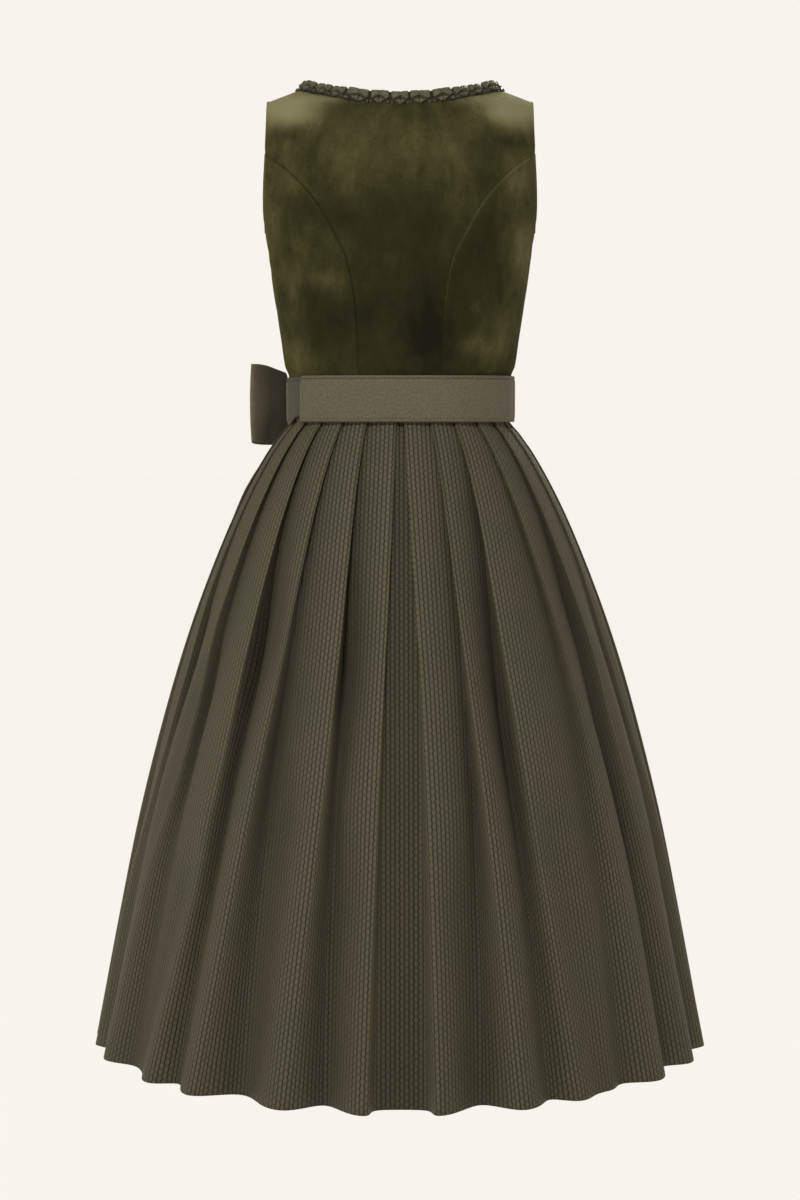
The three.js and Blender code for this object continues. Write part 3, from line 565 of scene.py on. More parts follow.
# Ripples above the band and drag lines, in mm: side, middle x, middle z, length, width, height
# and lean, a ridge when the height is positive.
BACK_RIPPLES = [
    (128, -335, 30, 6, 1.3, 0.10), (102, -333, 34, 5, 1.6, 0.06), (82, -336, 28, 5, 1.3, 0.0),
    (60, -338, 22, 5, 0.9, 0.0), (30, -340, 24, 7, 0.9, 0.0), (0, -341, 20, 7, 0.8, 0.0),
    (-26, -340, 22, 6, 0.9, 0.0), (-52, -338, 24, 6, 1.1, 0.0), (-84, -337, 26, 6, 1.1, -0.05),
    (-112, -335, 28, 6, 1.2, -0.1), (140, -215, 30, 7, -1.0, 1.1), (128, -240, 34, 8, -1.0, 1.3),
    (-140, -205, 30, 8, -0.8, -1.2), (112, -150, 34, 9, -0.8, 0.9), (-118, -160, 34, 9, -0.7, -0.9),
    (135, -290, 30, 7, -0.8, 0.8), (-132, -285, 34, 8, -0.8, -0.7),
]


def ripple_height(p):
    """Sum of leaning Gaussian hills over x and z."""
    total = np.zeros(p.shape[:2])
    for x, z, length, width, height, lean in BACK_RIPPLES:
        dz = p[..., 2] - z * MM
        dx = p[..., 0] - x * MM - lean * dz
        total += height * MM * bell(dx, width * MM) * bell(dz, length * MM)
    return total


# Patches of the back's velvet, in mm: x, z, half width, half height, lean, amount (paler when
# positive). The large pale ones on the shoulders are painted highlights and the dark ones low in
# the middle painted shade; the others are paler or darker patches of the pile.
PILE_AND_LIGHT_PATCHES = [
    (150, -10, 42, 24, 0.0, 0.9), (128, -28, 26, 12, 0.4, 0.35), (-148, -12, 42, 27, 0.0, 1.1),
    (-128, -26, 22, 12, -0.4, 0.35), (100, -8, 40, 9, 0.0, 0.35), (-96, -8, 40, 9, 0.0, 0.3),
    (140, -54, 20, 9, 0.0, -0.14), (-142, -62, 24, 12, 0.0, -0.14), (40, -60, 80, 34, 0.3, 0.16),
    (30, -108, 50, 26, -0.4, 0.12), (-60, -60, 36, 30, 0.0, 0.10), (150, -150, 14, 30, -0.5, 0.08),
    (138, -238, 14, 36, 0.2, 0.06), (88, -232, 30, 12, 0.6, 0.14), (-146, -112, 26, 24, -0.5, 0.16),
    (-152, -200, 22, 44, 0.0, 0.3), (-88, -310, 22, 16, 0.4, 0.16), (-128, -290, 20, 44, -0.2, 0.22),
    (-96, -190, 26, 40, -0.5, -0.14), (-20, -180, 60, 60, 0.0, -0.10), (-30, -300, 44, 60, 0.0, -0.24),
    (80, -280, 30, 30, 0.0, -0.14), (20, -250, 40, 40, 0.0, -0.12), (120, -330, 22, 30, 0.2, 0.2),
    (60, -330, 14, 30, 0.1, 0.1), (100, -150, 34, 20, 0.6, -0.12), (128, -118, 14, 16, 0.5, 0.14),
]


def nap_amount(p, face):
    """Paleness of the velvet: 0.34 at the middle height, less low down, more towards the sides and
    on the shoulders, plus the patches. The paler top and shoulders are painted light, the paler
    sides painted sheen, the darker low part painted shade."""
    x, z = p[..., 0] / MM, p[..., 2] / MM
    # Painted light: paler towards the top and the sides; painted shade low down.
    total = 0.29 + 0.07 * smooth(z, -330, -60) + 0.05 * smooth(np.abs(x), 90, 165)
    if face == "front":
        # Painted light: the front pales towards the shoulders.
        return total + 0.35 * smooth(z, -70, 0)
    for cx, cz, rx, rz, lean, amount in PILE_AND_LIGHT_PATCHES:
        dx = x - cx - lean * (z - cz)
        total = total + amount * np.exp(-(dx / rx) ** 2 - ((z - cz) / rz) ** 2)
    return total


def bodice_piece(name, face, bottom, top, left, right, rims=()):
    """A panel on the form: its edges sink over 2.5 mm into the seams, an armhole edge carries a
    rolled rim, and the back takes the ripples."""
    edges = [np.stack([ring_angle(e[:, 0], e[:, 1]), e[:, 1]], -1) for e in (bottom, top, left, right)]
    flat = coons(*edges, 6.0 if name == "bodice_back_centre" else 1.0)
    p = bodice_point(face, flat[..., 0], flat[..., 1])
    core = np.array([0, 0, -0.2])
    n = grid_normals(p, core)
    from_left = along(p, 1)
    from_right = from_left[:, -1:] - from_left
    from_top = along(p, 0)[-1:] - along(p, 0)
    height = -0.0006 * (bell(from_left, 0.0018) + bell(from_right, 0.0018)) * smooth(from_top, 0.0, 0.014)
    if "right" in rims or "left" in rims:
        arm = smooth(p[..., 2], rims["right"][0], rims["right"][1])
        for side, distance in (("right", from_right), ("left", from_left)):
            if side in rims:
                roll = 0.0006 * bell(distance - 0.0022, 0.0016) - 0.0005 * bell(distance - 0.005, 0.0012)
                height += arm * (roll + 0.0006 * bell(distance, 0.0018))
    if "top" in rims:
        height += 0.0006 * bell(from_top - 0.0022, 0.0016) - 0.0005 * bell(from_top - 0.005, 0.0012)
    if face == "back":
        height += ripple_height(p)
    else:
        height += 0.6 * ripple_height(p * [-1, 1, 1])
    p = p + n * height[..., None]
    uv = np.stack([from_left, p[..., 2]], -1)
    nap = nap_amount(p, face)
    if face == "back":
        # Painted light and shade along the back panels' edges: a pale line on the wearer's right, a dark one on
        # the left, fading out low down.
        seam = (bell(from_left, 0.0010) + bell(from_right, 0.0010)) * smooth(from_top, 0.004, 0.03)
        nap = nap + seam * np.where(p[..., 0] < 0, 0.20, -0.12) * smooth(p[..., 2], -0.33, -0.25)
    piece = grid_piece(name, p, uv, velvet, core, VELVET_WALL, "velvet", nap=nap)
    return piece


def make_bodice():
    low = WAIST_Z
    tip = float(ridge_height(SHOULDER_HALF))
    for face, princess, armhole, neck in (
            ("back", BACK_PRINCESS, BACK_ARMHOLE, BACK_NECK),
            ("front", FRONT_PRINCESS, FRONT_ARMHOLE, FRONT_NECK)):
        meet = princess["z"][0] * MM
        seam = seam_line(princess, low, meet, 96)
        arm = seam_line(armhole, meet, tip, 34)[1:]
        outer = np.vstack([seam, arm])
        near = NECK_HALF * np.sin(np.linspace(0, np.pi / 2, 64)) ** 0.9
        shoulder = np.linspace(NECK_HALF, SHOULDER_HALF, 24)[1:]
        top = np.vstack([np.stack([near, neck_over(neck, near)], -1),
                         np.stack([shoulder, ridge_height(shoulder)], -1)])
        bottom = np.stack([top[:, 0] / SHOULDER_HALF * seam[0, 0], np.full(len(top), low)], -1)
        rims = {"right": (meet, meet + 0.012)}
        if face == "back":
            whole = lambda half: np.vstack([mirrored(half)[::-1], half[1:]])
            rims = {"right": (meet, meet + 0.012), "left": True}
            bodice_piece("bodice_back_centre", face, whole(bottom), whole(top),
                         mirrored(outer), outer, rims)
        else:
            curve = neckline(neck, 66)
            rise = np.linspace(low, curve[0, 1], len(outer) - 65)[:-1]
            middle = np.vstack([np.stack([np.full(len(rise), 0.0), rise], -1), curve])
            across = np.linspace(NECK_HALF, SHOULDER_HALF, 56)
            top = np.stack([across, ridge_height(across)], -1)
            bottom = np.stack([np.linspace(0, seam[0, 0], 56), np.full(56, low)], -1)
            for side, turn in (("left", lambda e: e), ("right", mirrored)):
                bodice_piece("bodice_front_" + side, face, turn(bottom), turn(top),
                             turn(middle), turn(outer), rims)
        side_z = np.linspace(low, UNDERARM_Z, 96)
        side = np.stack([column(BODICE_RINGS, "half", side_z) * MM, side_z], -1)
        turn_in = np.sin(np.linspace(0, np.pi / 2, 54))
        arm_z = meet + (UNDERARM_Z - meet) * turn_in
        edge = np.stack([column(armhole, "x", arm_z) * MM, arm_z], -1)
        floor_x = np.linspace(seam[0, 0], side[0, 0], 54)
        base = np.stack([floor_x, np.full(54, low)], -1)
        for name, turn in (("left", lambda e: e), ("right", mirrored)):
            bodice_piece(f"bodice_{face}_side_{name}", face, turn(base), turn(edge),
                         turn(seam), turn(side), {"top": True})


# ---------- neck ruche ----------

RUCHE_PITCH = 0.0252
RUCHE_WIDTH = 0.0165


def form_normal(face, x, z):
    """Outward normal of the bodice's form, from short steps along it."""
    drop = np.maximum(ridge_height(x) - z, 0.002)

    def at(px, fall):
        height = ridge_height(px) - fall
        return bodice_point(face, ring_angle(px, height), height)
    n = unit(np.cross(at(x + 0.001, drop) - at(x - 0.001, drop), at(x, drop + 0.001) - at(x, drop - 0.001)))
    return n * np.sign(n[:, 1:2] * (1 if face == "back" else -1) + n[:, 2:3])


def ruche_path(count):
    """Points and normals along the neckline, evenly spaced from the centre front over the
    wearer's left shoulder, round the back and home. Behind, the ribbon rises from the neckline
    to the shoulders: z = 19.2 (x / a)^2.2 - 6.2 mm, and it is turned a little upright."""
    places, normals = [], []
    for face, neck in (("front", FRONT_NECK), ("back", BACK_NECK)):
        line = neckline(neck, 400)
        x, z = np.maximum(line[:, 0], 0.0004), line[:, 1]
        point = bodice_point(face, ring_angle(x, z), z)
        share = x / NECK_HALF
        if face == "back":
            point[:, 2] = (19.2 * share ** 2.2 - 6.2) * MM
        else:
            point[:, 2] += 0.0020 * smooth(share, 0.93, 1.0)
        n = form_normal(face, x, z)
        if face == "back":
            n = unit(n + np.array([0.0, 0.35, 0.0]))
        strap = smooth(x, 0.098, 0.1175)[:, None] * smooth(z, -0.03, 0.004)[:, None]
        n = unit(n * (1 - strap) + strap * np.array([0.72, 0.0, 0.69]))
        order = 1 if face == "front" else -1
        places.append(point[::order])
        normals.append(n[::order])
    half_p, half_n = np.vstack(places), np.vstack(normals)
    p = np.vstack([half_p, half_p[-2::-1] * [-1, 1, 1]])
    n = np.vstack([half_n, half_n[-2::-1] * [-1, 1, 1]])
    run = np.concatenate([[0], np.cumsum(np.linalg.norm(np.diff(p, axis=0), axis=1))])
    keep = np.concatenate([[True], np.diff(run) > 1e-7])
    even = np.linspace(0, run[-1], count)
    pick = lambda a: np.stack([np.interp(even, run[keep], a[keep][:, k]) for k in range(3)], -1)
    return pick(p), unit(settled(pick(n), 16)), even


def settled(a, width):
    """Rows averaged with their neighbours by a raised cosine, ends held."""
    kernel = np.hanning(2 * width + 3)[1:-1]
    held = np.vstack([np.repeat(a[:1], width, 0), a, np.repeat(a[-1:], width, 0)])
    return np.stack([np.convolve(held[:, k], kernel / kernel.sum(), "valid") for k in range(a.shape[1])], -1)


def heart_height(f, g):
    """Height in mm of one folded heart at f across (-1 to 1) and g down (0 to 1): a shield that
    narrows to a point below, two flaps above a centre notch, a dark fold under an upturned V,
    and small lips of ribbon between the shields at the bottom."""
    a = np.abs(f)
    half = 0.93 - 0.80 * smooth(g, 0.48, 1.08)
    inside = smooth(half - a, -0.02, 0.10)
    body = 3.4 + 1.3 * np.sqrt(np.clip(1 - (a / 0.98) ** 2, 0, 1)) * (1 - 0.4 * g)
    notch = 1.6 * bell(f, 0.09) * smooth(0.36 - g, 0, 0.22)
    vee = g - (0.34 + 0.40 * a)
    under = 2.5 * smooth(vee, 0.0, 0.03) * (1 - smooth(vee, 0.12, 0.36))
    lip = 1.1 * bell(vee + 0.05, 0.05)
    crease = 2.0 * bell(f, 0.06) * smooth(g, 0.42, 0.52)
    flank = 0.8 * bell(a - 0.45, 0.16) * smooth(g, 0.6, 0.75)
    shield = (body - notch - under + lip - crease + flank) * inside
    rest = (0.5 + 2.2 * smooth(g, 0.62, 0.84) * smooth(a, 0.5, 0.8) * (1 - bell(a - 1, 0.07))) * (1 - inside)
    return (shield + rest) * (1 - smooth(g, 0.97, 1.0)) * smooth(g, 0.0, 0.03)


def make_ruche():
    """The ribbon lies on the neckline with its width across the path, away from the opening."""
    count, across_count = 1300, 34
    p, normal, run = ruche_path(count)
    base = settled(p, 10)
    tangent = unit(np.gradient(base, axis=0))
    down = unit(settled(unit(np.cross(tangent, normal)), 8))
    down = down * -np.sign(down[count // 2, 2])
    normal = unit(np.cross(tangent, down))
    normal = normal * np.sign(normal[count // 2, 1])
    g = np.linspace(0, 1, across_count)
    units = 2 * round((run[-1] / RUCHE_PITCH - 1) / 2) + 1
    wander = 0.05 * np.sin(run * 61) + 0.04 * np.sin(run * 143 + 2)
    f = ((run / run[-1] * units + wander) % 1) * 2 - 1
    wobble = 0.5 * MM * np.sin(run * 171) + 0.4 * MM * np.sin(run * 77 + 1)
    height = heart_height(f[:, None], g[None]) * MM
    offset = (g[None] - 0.20) * RUCHE_WIDTH + wobble[:, None]
    grid = base[:, None] + down[:, None] * offset[..., None] + normal[:, None] * (0.0012 + height)[..., None]
    under = base[:, None] + down[:, None] * offset[:, [-1, 0]][..., None] + normal[:, None] * 0.0006
    loop = np.concatenate([grid, under], axis=1).transpose(1, 0, 2)
    uv = np.stack(np.broadcast_arrays(run[None], np.linspace(0, 2 * RUCHE_WIDTH, len(loop))[:, None]), -1)
    # How high the ribbon stands, which the ribbon's colour turns into painted shade in its low places.
    rise = np.vstack([height.T / (4.5 * MM), np.zeros((2, count))])
    piece = grid_piece("neck_ruche", loop, uv, ribbon, np.array([0, 0, -0.1]), 0, "ruche_ribbon",
                       closed=True, rise=rise)
    close_holes(piece.data)


# ---------- skirt ----------

def skirt_point(angle, z, depth):
    """Point of the skirt's form at an angle in degrees from the centre back, moved inwards."""
    a = np.radians(angle)
    half = column(SKIRT_RINGS, "half", z) * MM
    deep = np.where(np.cos(a) >= 0, column(SKIRT_RINGS, "back", z), column(SKIRT_RINGS, "front", z)) * MM
    power = 2 / column(SKIRT_RINGS, "power", z)
    x = half * powered(np.sin(a), power)
    y = deep * powered(np.cos(a), power)
    n = unit(np.stack(np.broadcast_arrays(np.sin(a) / half, np.cos(a) / deep), -1))
    return np.stack([x - n[..., 0] * depth, y - n[..., 1] * depth, np.broadcast_to(z, x.shape)], -1)


def down_skirt(waist, knee, hem, z):
    return column({"z": [-375, -750, -1188], "v": [waist, knee, hem]}, "v", z)


FACE_COLS, STEP_COLS, OPEN_COLS = 20, 7, 9


# Pockets where a fold stands open: half, pleat, middle height, reach, extra depth in mm.
POCKETS = [
    ("right", 2, -0.765, 0.12, 20), ("left", 1, -0.700, 0.07, 15), ("left", 3, -0.680, 0.09, 17),
    ("left", 2, -0.800, 0.12, 8), ("right", 1, -0.880, 0.12, 6), ("right", 4, -0.640, 0.08, 8),
    ("left", 5, -0.700, 0.10, 8), ("left", 10, -0.72, 0.1, 8), ("right", 9, -0.70, 0.1, 8),
]


def half_skirt(side, pleats, z):
    """Angle and depth of one half at heights z, from the centre back. Each face falls in from
    its fold edge to the valley under the next one, by depth t^1.3, and a short return runs up
    from that valley to the next edge. Near the waist the valley lies under the next face."""
    edges = [down_skirt(p[0], p[1], p[2], z) for p in pleats]
    depths = [down_skirt(min(3.2, 0.3 * p[3]), 1.35 * p[3], 1.7 * p[4], z) * MM for p in pleats]
    power = 1.3 + 0.9 * smooth(-z, 0.6, 1.0)
    radius = column(SKIRT_RINGS, "half", z) * MM * 0.85
    laps = [np.degrees(p[5] * MM / radius) * smooth(z, -0.80, -0.5) for p in pleats]
    for where, k, middle, reach, extra in POCKETS:
        if where == side:
            depths[k] = depths[k] + extra * MM * bell(z - middle, reach)
            laps[k] = laps[k] + np.degrees(0.3 * extra * MM / radius) * bell(z - middle, reach)
    share = down_skirt(0.0, 0.05, 0.34, z)
    t = np.linspace(0, 1, OPEN_COLS)[:, None]
    foot = edges[0] + laps[0]
    angles, falls = [t * foot], [depths[0] * (1 - 0.12 * t ** 2)]
    for k, edge in enumerate(edges):
        s = np.linspace(0, 1, STEP_COLS + 2)[1:-1, None]
        angles.append(foot * (1 - s) + edge * s)
        falls.append(depths[k] * (0.88 if k == 0 else 1) * (1 - s * s * (3 - 2 * s)))
        last = k + 1 == len(edges)
        foot = np.full_like(z, 180.0) if last else edges[k + 1] - (edges[k + 1] - edge) * share + laps[k + 1]
        depth = depths[k] * 0.5 if last else depths[k + 1]
        t = np.linspace(0, 1, FACE_COLS)[:, None]
        angles.append(edge + (foot - edge) * t)
        falls.append(depth * t ** power)
    return np.vstack(angles).T, np.vstack(falls).T


def soften(a, z, passes=18):
    """Each pass moves every point of a row towards the mean of its neighbours, by a share that
    grows from the waist to the hem. The row is a closed ring."""
    share = (0.02 + 0.40 * smooth(-z, 0.66, 1.15))[:, None]
    for _ in range(passes):
        a = a + share * (0.5 * (np.roll(a, 1, 1) + np.roll(a, -1, 1)) - a)
    return a


def crease_depth(angle, z):
    total = np.zeros(np.broadcast_shapes(angle.shape, z.shape))
    radius = column(SKIRT_RINGS, "half", z) * MM
    turned = (angle + 180) % 360 - 180
    for top, bottom, high, low, width, depth in SKIRT_CREASES:
        t = np.clip((high - z) / (high - low), 0, 1)
        middle = top + (bottom - top) * t
        away = np.radians((turned - middle + 180) % 360 - 180) * radius
        fade = smooth(-z, -high, -high + 0.12) * (1 if low < -1.15 else smooth(z, low, low + 0.15))
        total = total + depth * MM * bell(away, width * MM) * fade
    return total


def skirt_grid(rows):
    """The whole skirt as a ring of columns from the centre front round to the centre front."""
    z = WAIST_Z + (HEM_Z - WAIST_Z) * np.linspace(0, 1, rows) ** 1.12
    left_a, left_d = half_skirt("left", LEFT_PLEATS, z)
    right_a, right_d = half_skirt("right", RIGHT_PLEATS, z)
    angle = np.hstack([-right_a[:, ::-1], left_a[:, 1:]])
    depth = np.hstack([right_d[:, ::-1], left_d[:, 1:]])
    ring_a = angle[:, :-1]
    p = skirt_point(ring_a, z[:, None], depth[:, :-1])
    fold = soften(depth[:, :-1], z, 30) + crease_depth((ring_a + 180) % 360 - 180, z[:, None])
    # Painted shade: the deeper a point lies in its fold or crease, the darker its colour.
    deep = np.clip(fold / (0.007 + 0.020 * smooth(-z, 0.42, 1.1))[:, None], 0, 1) ** 1.2
    xy = soften(p[..., 0] + 1j * p[..., 1], z)
    xy = xy - xy / np.abs(xy) * 0.0028 * bell(z[:, None] + 0.4065, 0.0045)
    at = np.degrees(np.angle(soften(np.exp(1j * np.radians(ring_a)), z)))
    xy = xy - xy / np.abs(xy) * crease_depth(at, z[:, None])
    xy = xy * (1 + 0.004 * smooth(-z, 0.7, 1.15)[:, None])
    p = np.stack([xy.real, xy.imag, np.broadcast_to(z[:, None], xy.shape)], -1)
    closed = [np.concatenate([a, a[:, :1]], axis=1) for a in (p, ring_a, deep)]
    return closed


def skirt_cloth(p, pleats):
    """Cloth coordinates: across, each face keeps its own distance from its fold edge, whose place
    is its place at the hem, so the rest of the cloth lies in the fold; down, the mean distance
    from the waist."""
    run = along(p, 1)
    hem = run[-1]
    centre = OPEN_COLS + STEP_COLS + pleats * FACE_COLS + (pleats - 1) * STEP_COLS - 1
    across = hem[centre] + run - run[:, centre:centre + 1]
    for sign in (1, -1):
        foot = centre + sign * (OPEN_COLS - 1)
        for k in range(pleats):
            edge = foot + sign * (STEP_COLS + 1)
            end = edge + sign * (FACE_COLS - 1)
            face = np.arange(edge, end + sign, sign)
            across[:, face] = hem[edge] + run[:, face] - run[:, edge:edge + 1]
            step = np.arange(foot, edge + sign, sign)
            s = np.linspace(0, 1, len(step))[None]
            across[:, step] = across[:, foot:foot + 1] * (1 - s) + hem[edge] * s
            foot = end
    down = -along(p, 0).mean(axis=1, keepdims=True)
    return np.stack([across, np.broadcast_to(down, across.shape)], -1)


def make_skirt():
    p, angle, deep = skirt_grid(98)
    uv = skirt_cloth(p, len(LEFT_PLEATS))
    hem_run = along(p, 1)[-1]
    mean = angle.mean(axis=0)
    start = int(np.argmin(np.abs(mean + 90)))
    end = int(np.argmin(np.abs(mean - 90)))
    core = np.array([0, 0, -0.7])
    total = len(hem_run)
    behind = np.arange(start, end + 1)
    before = np.r_[end:total - 1, 0:start + 1]
    wide = float(hem_run[end] - hem_run[start])
    for name, part, width in (("skirt_back", behind, wide), ("skirt_front", before, float(hem_run[-1] - wide))):
        piece = grid_piece(name, p[:, part], uv[:, part], jacquard, core, SKIRT_WALL, "skirt_jacquard",
                           deep=deep[:, part])


# ---------- apron, band and ties ----------

APRON_GATHERS = [(-58, 3), (-43, 6), (-29, 4), (-16, 7), (-2, 5), (13, 6), (27, 4), (42, 7), (57, 3)]
APRON_HALF_ANGLE = 62


def make_apron():
    z = np.linspace(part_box("apron_panel")[1][2], APRON_HEM_Z, 70)[:, None]
    angle = np.linspace(-APRON_HALF_ANGLE, APRON_HALF_ANGLE, 300)[None]
    growth = np.clip((WAIST_Z - z) / 0.26, 0.12, 1)
    lift = sum(h * MM * bell(angle - at, 5.5) for at, h in APRON_GATHERS) * growth
    pucker = 0.0009 * np.sin(np.radians(angle) * 78 + 2 * np.sin(np.radians(angle) * 11))
    fine = pucker * np.exp(-(WAIST_Z - z) / 0.07) * smooth(WAIST_Z - z, 0.0, 0.03)
    wave = 0.0018 * np.sin(np.radians(angle) * 31 + 3 * z) * growth
    p = skirt_point(180 + angle, z, -(0.0026 + lift + fine + np.abs(wave)))
    run = along(p, 1)
    uv = np.stack([np.broadcast_to(run[-1], run.shape), np.broadcast_to(z, run.shape)], -1)
    # Painted shade between the gathers: the less a place is lifted, the darker its colour.
    piece = grid_piece("apron_panel", p, uv, twill, np.array([0, 0, -0.7]), TWILL_WALL,
                       "apron_twill", deep=0.35 * np.clip(1 - lift / 0.004, 0, 1))


BAND_RING = {"half": 0.1438, "back": 0.0956, "front": 0.1084}


def band_point(angle, z, lift):
    """Point of the waist's ring, a superellipse, moved outwards by lift."""
    a = np.radians(angle)
    deep = np.where(np.cos(a) >= 0, BAND_RING["back"], BAND_RING["front"])
    x = BAND_RING["half"] * powered(np.sin(a), 2 / FORM_POWER)
    y = deep * powered(np.cos(a), 2 / FORM_POWER)
    n = unit(np.stack([np.sin(a) / BAND_RING["half"], np.cos(a) / deep], -1))
    return np.stack([x + n[..., 0] * lift, y + n[..., 1] * lift, z + 0 * x], -1)


def band_piece(name, start, stop, low, high, material, corner=0.0, lift=0.0, stitched=True, dip=0):
    """A flat band round the waist: a shallow crowned face, a stitched groove near each long
    edge, a few soft pulls, and one rounded top corner at the end where it stops."""
    angle = np.linspace(start, stop, int(abs(stop - start) * 1.6) + 8)[None]
    hem = np.linspace(0, 0.0062 / (high - low), 17)
    v = np.concatenate([hem, np.linspace(hem[-1], 1 - hem[-1], 18)[1:-1], 1 - hem[::-1]])[:, None]
    ends = np.abs(angle - stop) * 0.0022
    cut = corner * (1 - np.sqrt(np.clip(1 - (1 - np.clip(ends / corner, 0, 1)) ** 2, 0, 1))) if corner else 0
    low = low - 0.012 * bell(angle - dip, 9) if dip else low + 0 * angle
    z = low + (high - low - cut) * v
    tall = high - float(low.max())
    edge_low, edge_high = v * tall, (1 - v) * tall
    height = 0.0005 * (1 - (2 * v - 1) ** 4) + lift
    if stitched:
        height = height - 0.0009 * (bell(edge_high - 0.0040, 0.0007) + 0.4 * bell(edge_low - 0.0040, 0.0007))
    height = height - 0.0009 * (bell(edge_high, 0.0009) + bell(edge_low, 0.0009))
    pull = 0.0005 * np.sin(angle * 0.19 + 1) * bell(v - 0.45, 0.4) + 0.0004 * np.sin(angle * 0.43)
    height = height + pull * smooth(v, 0, 0.2) * smooth(1 - v, 0, 0.2)
    p = band_point(angle + 0 * v, z + 0 * angle, height)
    run = along(p, 1)
    uv = np.stack([run, p[..., 2]], -1)
    # Painted shade in the stitched grooves and along both long edges, most along the lower one.
    groove = bell(edge_high - 0.0040, 0.0007) + 0.3 * bell(edge_low - 0.0040, 0.0007) if stitched else 0
    deep = np.clip(0.6 * groove + 0.7 * bell(edge_low, 0.0011) + 0.3 * bell(edge_high, 0.0008), 0, 1)
    piece = grid_piece(name, p, uv, material, np.array([0, 0, low.mean()]), 0.0012, "apron_twill", deep=deep)


def make_band():
    band_piece("apron_waistband", 133, 247.5, BAND_LOW, BAND_HIGH, twill)
    band_piece("apron_tie_back", -112, 57.5, BAND_LOW, BAND_HIGH, twill, corner=0.006, lift=0.0006)
    # The strip round the side wears the shaded copy of the twill: painted shade.
    band_piece("apron_tie_left", 56.5, 118, -0.397, -0.349, shaded_twill, lift=-0.0008, dip=76)


# ---------- bow ----------

KNOT = {"x": 0.133, "y": -0.073, "z": -0.378, "turn": -43}
BOW_LOOPS = [
    ("bow_loop_outer", 0.143, -0.066, 53, 0.074, 0.034, 0.102, 0.13, 0.011),
    ("bow_loop_front", 0.1225, -0.0865, -145, 0.092, 0.034, 0.094, 0.75, 0.010),
]
BOW_TAILS = [
    ("bow_tail_long", 136, 7, 0.460, 0.054, 0.009),
    ("bow_tail_short", 118, -4, 0.390, 0.054, 0.0065),
]


def make_loop(name, x, y, aim, length, root, end, pinch, spread):
    """A loop of tie on its edge: out along one layer, round the end, back along the other. The
    folds that spread from the knot are cosines over the height, strongest at the root."""
    ahead = np.array([math.cos(math.radians(aim)), math.sin(math.radians(aim))])
    beside = np.array([-ahead[1], ahead[0]])
    s = np.linspace(0, 1, 150)[None] * np.pi
    v = np.linspace(-1, 1, 60)[:, None]
    out = np.sin(s) ** 0.8
    side = np.cos(s) * (0.002 + (spread - 0.002) * np.sin(s) ** 0.5)
    open_up = smooth(out, 0.0, pinch)
    half = (root + (0.87 * end - root) * open_up + 0.13 * end * out) / 2
    bulge = 0.0022 * (1 - v * v) * np.sin(s)
    fold = 0.0030 * np.cos(v * 4.4 + 0.3) * (1 - smooth(out, 0.45, 1.0)) * np.sign(np.cos(s))
    soft = 0.0022 * bell(out - 0.5 + 0.08 * v, 0.16) * np.sign(np.cos(s))
    reach = out * length + bulge
    across = side * (1 - 0.25 * v * v) + (fold * np.sin(s) - soft) * 0.8
    px = x + ahead[0] * reach + beside[0] * across
    py = y + ahead[1] * reach + beside[1] * across
    pz = KNOT["z"] - 0.0105 * open_up + 0.0075 * out + v * half + 0.0015 * np.sin(3 * s) * v
    p = np.stack(np.broadcast_arrays(px, py, pz), -1)
    run = along(p, 1)
    uv = np.stack([run, p[..., 2]], -1)
    centre = np.array([x + ahead[0] * length / 2, y + ahead[1] * length / 2, KNOT["z"]])
    # Painted shade near the knot and down the loop's soft middle fold.
    deep = 0.34 * smooth(0.55 - out, 0, 0.5) + 0.25 * bell(out - 0.42 + 0.08 * v, 0.12)
    piece = grid_piece(name, p, uv, bow_twill, centre, TWILL_WALL, "apron_twill", deep=deep)


def make_tail(name, angle, drift, length, width, lift):
    """A tail hanging from the knot over the skirt, with two soft folds that fade downwards."""
    share = np.linspace(0, 1, 120)[:, None]
    u = np.linspace(-1, 1, 40)[None]
    z = KNOT["z"] - 0.026 - share * length * 0.88
    half = width * (0.3 + 0.2 * np.minimum(1, share * 5))
    radius = column(SKIRT_RINGS, "half", z) * MM
    turn = angle + drift * share + np.degrees(u * half / radius)
    bulge = 0.0025 * (1 - u * u) * np.minimum(1, share * 3)
    folds = 0.0022 * np.cos(u * 6 + 0.5) * (1 - smooth(share, 0.1, 0.6))
    wave = 0.0020 * np.sin(share * 9 + u) * smooth(share, 0.1, 0.3)
    depth = -(lift + bulge + folds * smooth(share, 0, 0.03) + wave + 0.0012
              + 0.006 * np.minimum(1, share * 4))
    p = skirt_point(turn, z + 0 * u, depth)
    run = along(p, 1)
    uv = np.stack([run, along(p, 0)], -1)
    piece = grid_piece(name, p, uv, bow_twill, np.array([0, 0, -0.6]), TWILL_WALL, "apron_twill")


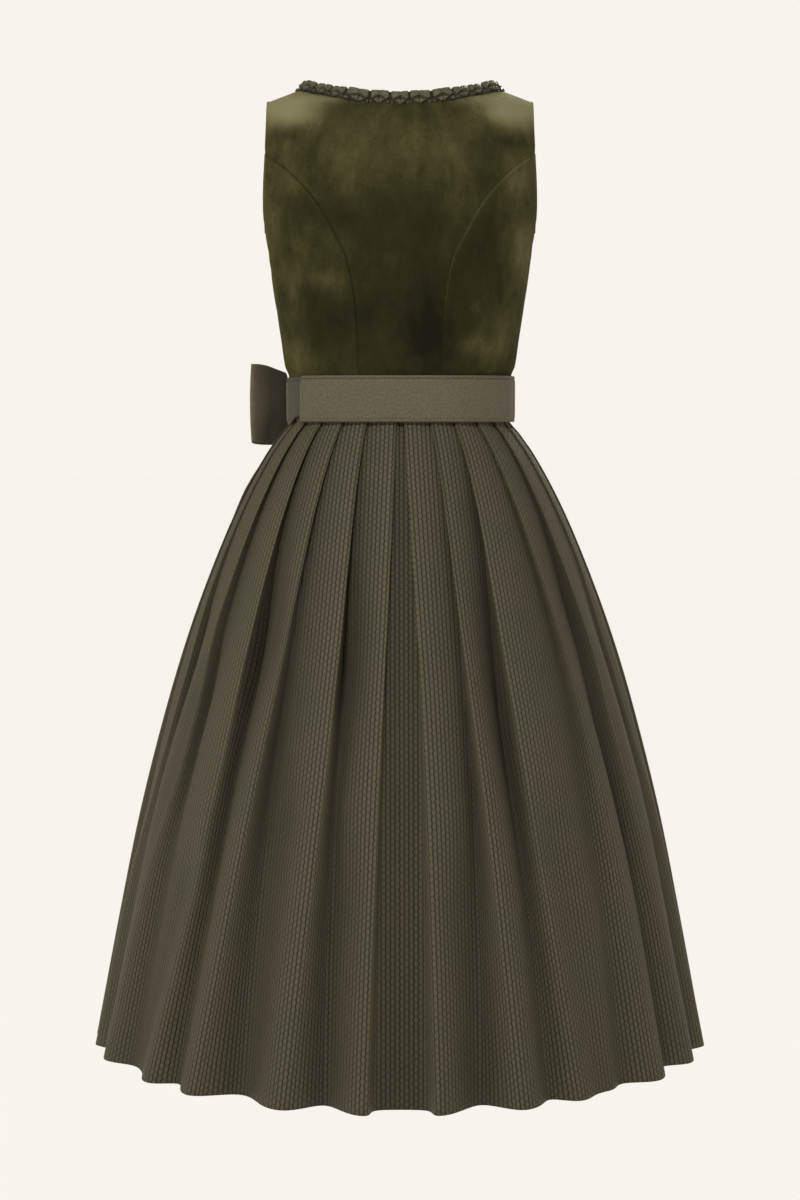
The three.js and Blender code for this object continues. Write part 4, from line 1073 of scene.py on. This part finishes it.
def make_knot():
    """The knot: a rounded block, |x|^3 + |y|^3 + |z|^3 = 1 scaled to its sizes, with upright
    folds as cosines that pinch at the waist of the knot."""
    lat = np.linspace(-np.pi / 2, np.pi / 2, 60)[:, None]
    lon = np.linspace(0, 2 * np.pi, 97)[None, :-1]
    power = 2 / 3
    cx = powered(np.cos(lat), power) * powered(np.cos(lon), power)
    cy = powered(np.cos(lat), power) * powered(np.sin(lon), power)
    cz = powered(np.sin(lat), power) + 0 * lon
    crease = 1 + 0.05 * np.cos(cx * 9) * (1 - cz ** 2) - 0.07 * (1 - cz ** 2)
    a = math.radians(KNOT["turn"])
    bx, by = cx * 0.0165 * crease, cy * 0.0095 * crease
    p = np.stack([KNOT["x"] + bx * math.cos(a) - by * math.sin(a),
                  KNOT["y"] + bx * math.sin(a) + by * math.cos(a),
                  KNOT["z"] + cz * 0.0195], -1)
    ring = p.transpose(1, 0, 2)
    uv = np.stack([np.broadcast_to(lon.T * 0.015, ring.shape[:2]), ring[..., 2]], -1)
    piece = grid_piece("bow_knot", ring, uv, bow_twill, np.array([KNOT["x"], KNOT["y"], KNOT["z"]]),
                       0, "apron_twill", closed=True)
    close_holes(piece.data)


make_bodice()
make_ruche()
make_skirt()
make_apron()
make_band()
make_knot()
for loop in BOW_LOOPS:
    make_loop(*loop)
for tail in BOW_TAILS:
    make_tail(*tail)


# ---------- studio ----------

CREAM = rgb(249, 243, 238)


def make_studio():
    scene = bpy.context.scene
    scene.view_settings.view_transform = "Standard"
    camera = bpy.data.objects.new("camera", bpy.data.cameras.new("camera"))
    scene.collection.objects.link(camera)
    camera.location = (0, 3.0, -0.39)
    camera.rotation_euler = (math.radians(90 - 4.574), 0, math.radians(180))
    camera.data.lens = 71.09
    camera.data.sensor_width = 36
    scene.camera = camera
    world = bpy.data.worlds.new("studio")
    scene.world = world
    world.use_nodes = True
    t = world.node_tree
    sky = t.nodes["Background"]
    sky.inputs["Color"].default_value = CREAM
    sky.inputs["Strength"].default_value = 0.15
    seen = t.nodes.new("ShaderNodeBackground")
    seen.inputs["Color"].default_value = CREAM
    path = t.nodes.new("ShaderNodeLightPath")
    pick = t.nodes.new("ShaderNodeMixShader")
    t.links.new(path.outputs["Is Camera Ray"], pick.inputs[0])
    t.links.new(sky.outputs[0], pick.inputs[1])
    t.links.new(seen.outputs[0], pick.inputs[2])
    t.links.new(pick.outputs[0], t.nodes["World Output"].inputs["Surface"])
    for name, place, size, power in (
            ("key", (0.8, 3.1, 1.9), 0.9, 88), ("left", (2.5, 1.3, 0.2), 1.4, 16),
            ("right", (-2.5, 1.5, 0.2), 1.4, 13), ("front", (-0.8, -3.1, 1.8), 1.2, 90),
            ("top", (0, 0.1, 2.2), 1.4, 14)):
        light = bpy.data.lights.new(name, "AREA")
        light.size = size
        light.energy = power
        lamp = bpy.data.objects.new(name, light)
        lamp.location = place
        aim = Vector((0, 0, -0.55)) - Vector(place)
        lamp.rotation_euler = aim.to_track_quat("-Z", "Y").to_euler()
        scene.collection.objects.link(lamp)
    mesh = bpy.data.meshes.new("floor")
    s, z = 40.0, HEM_Z - 0.35
    mesh.from_pydata([(-s, -s, z), (s, -s, z), (s, s, z), (-s, s, z)], [], [(0, 1, 2, 3)])
    floor = bpy.data.objects.new("floor", mesh)
    scene.collection.objects.link(floor)
    mat = bpy.data.materials.new("floor")
    mat.use_nodes = True
    shader = mat.node_tree.nodes["Principled BSDF"]
    shader.inputs["Base Color"].default_value = (0.02, 0.02, 0.02, 1)
    shader.inputs["Roughness"].default_value = 1
    shader.inputs["Specular IOR Level"].default_value = 0
    shader.inputs["Emission Color"].default_value = CREAM
    shader.inputs["Emission Strength"].default_value = 0.985
    mesh.materials.append(mat)


make_studio()
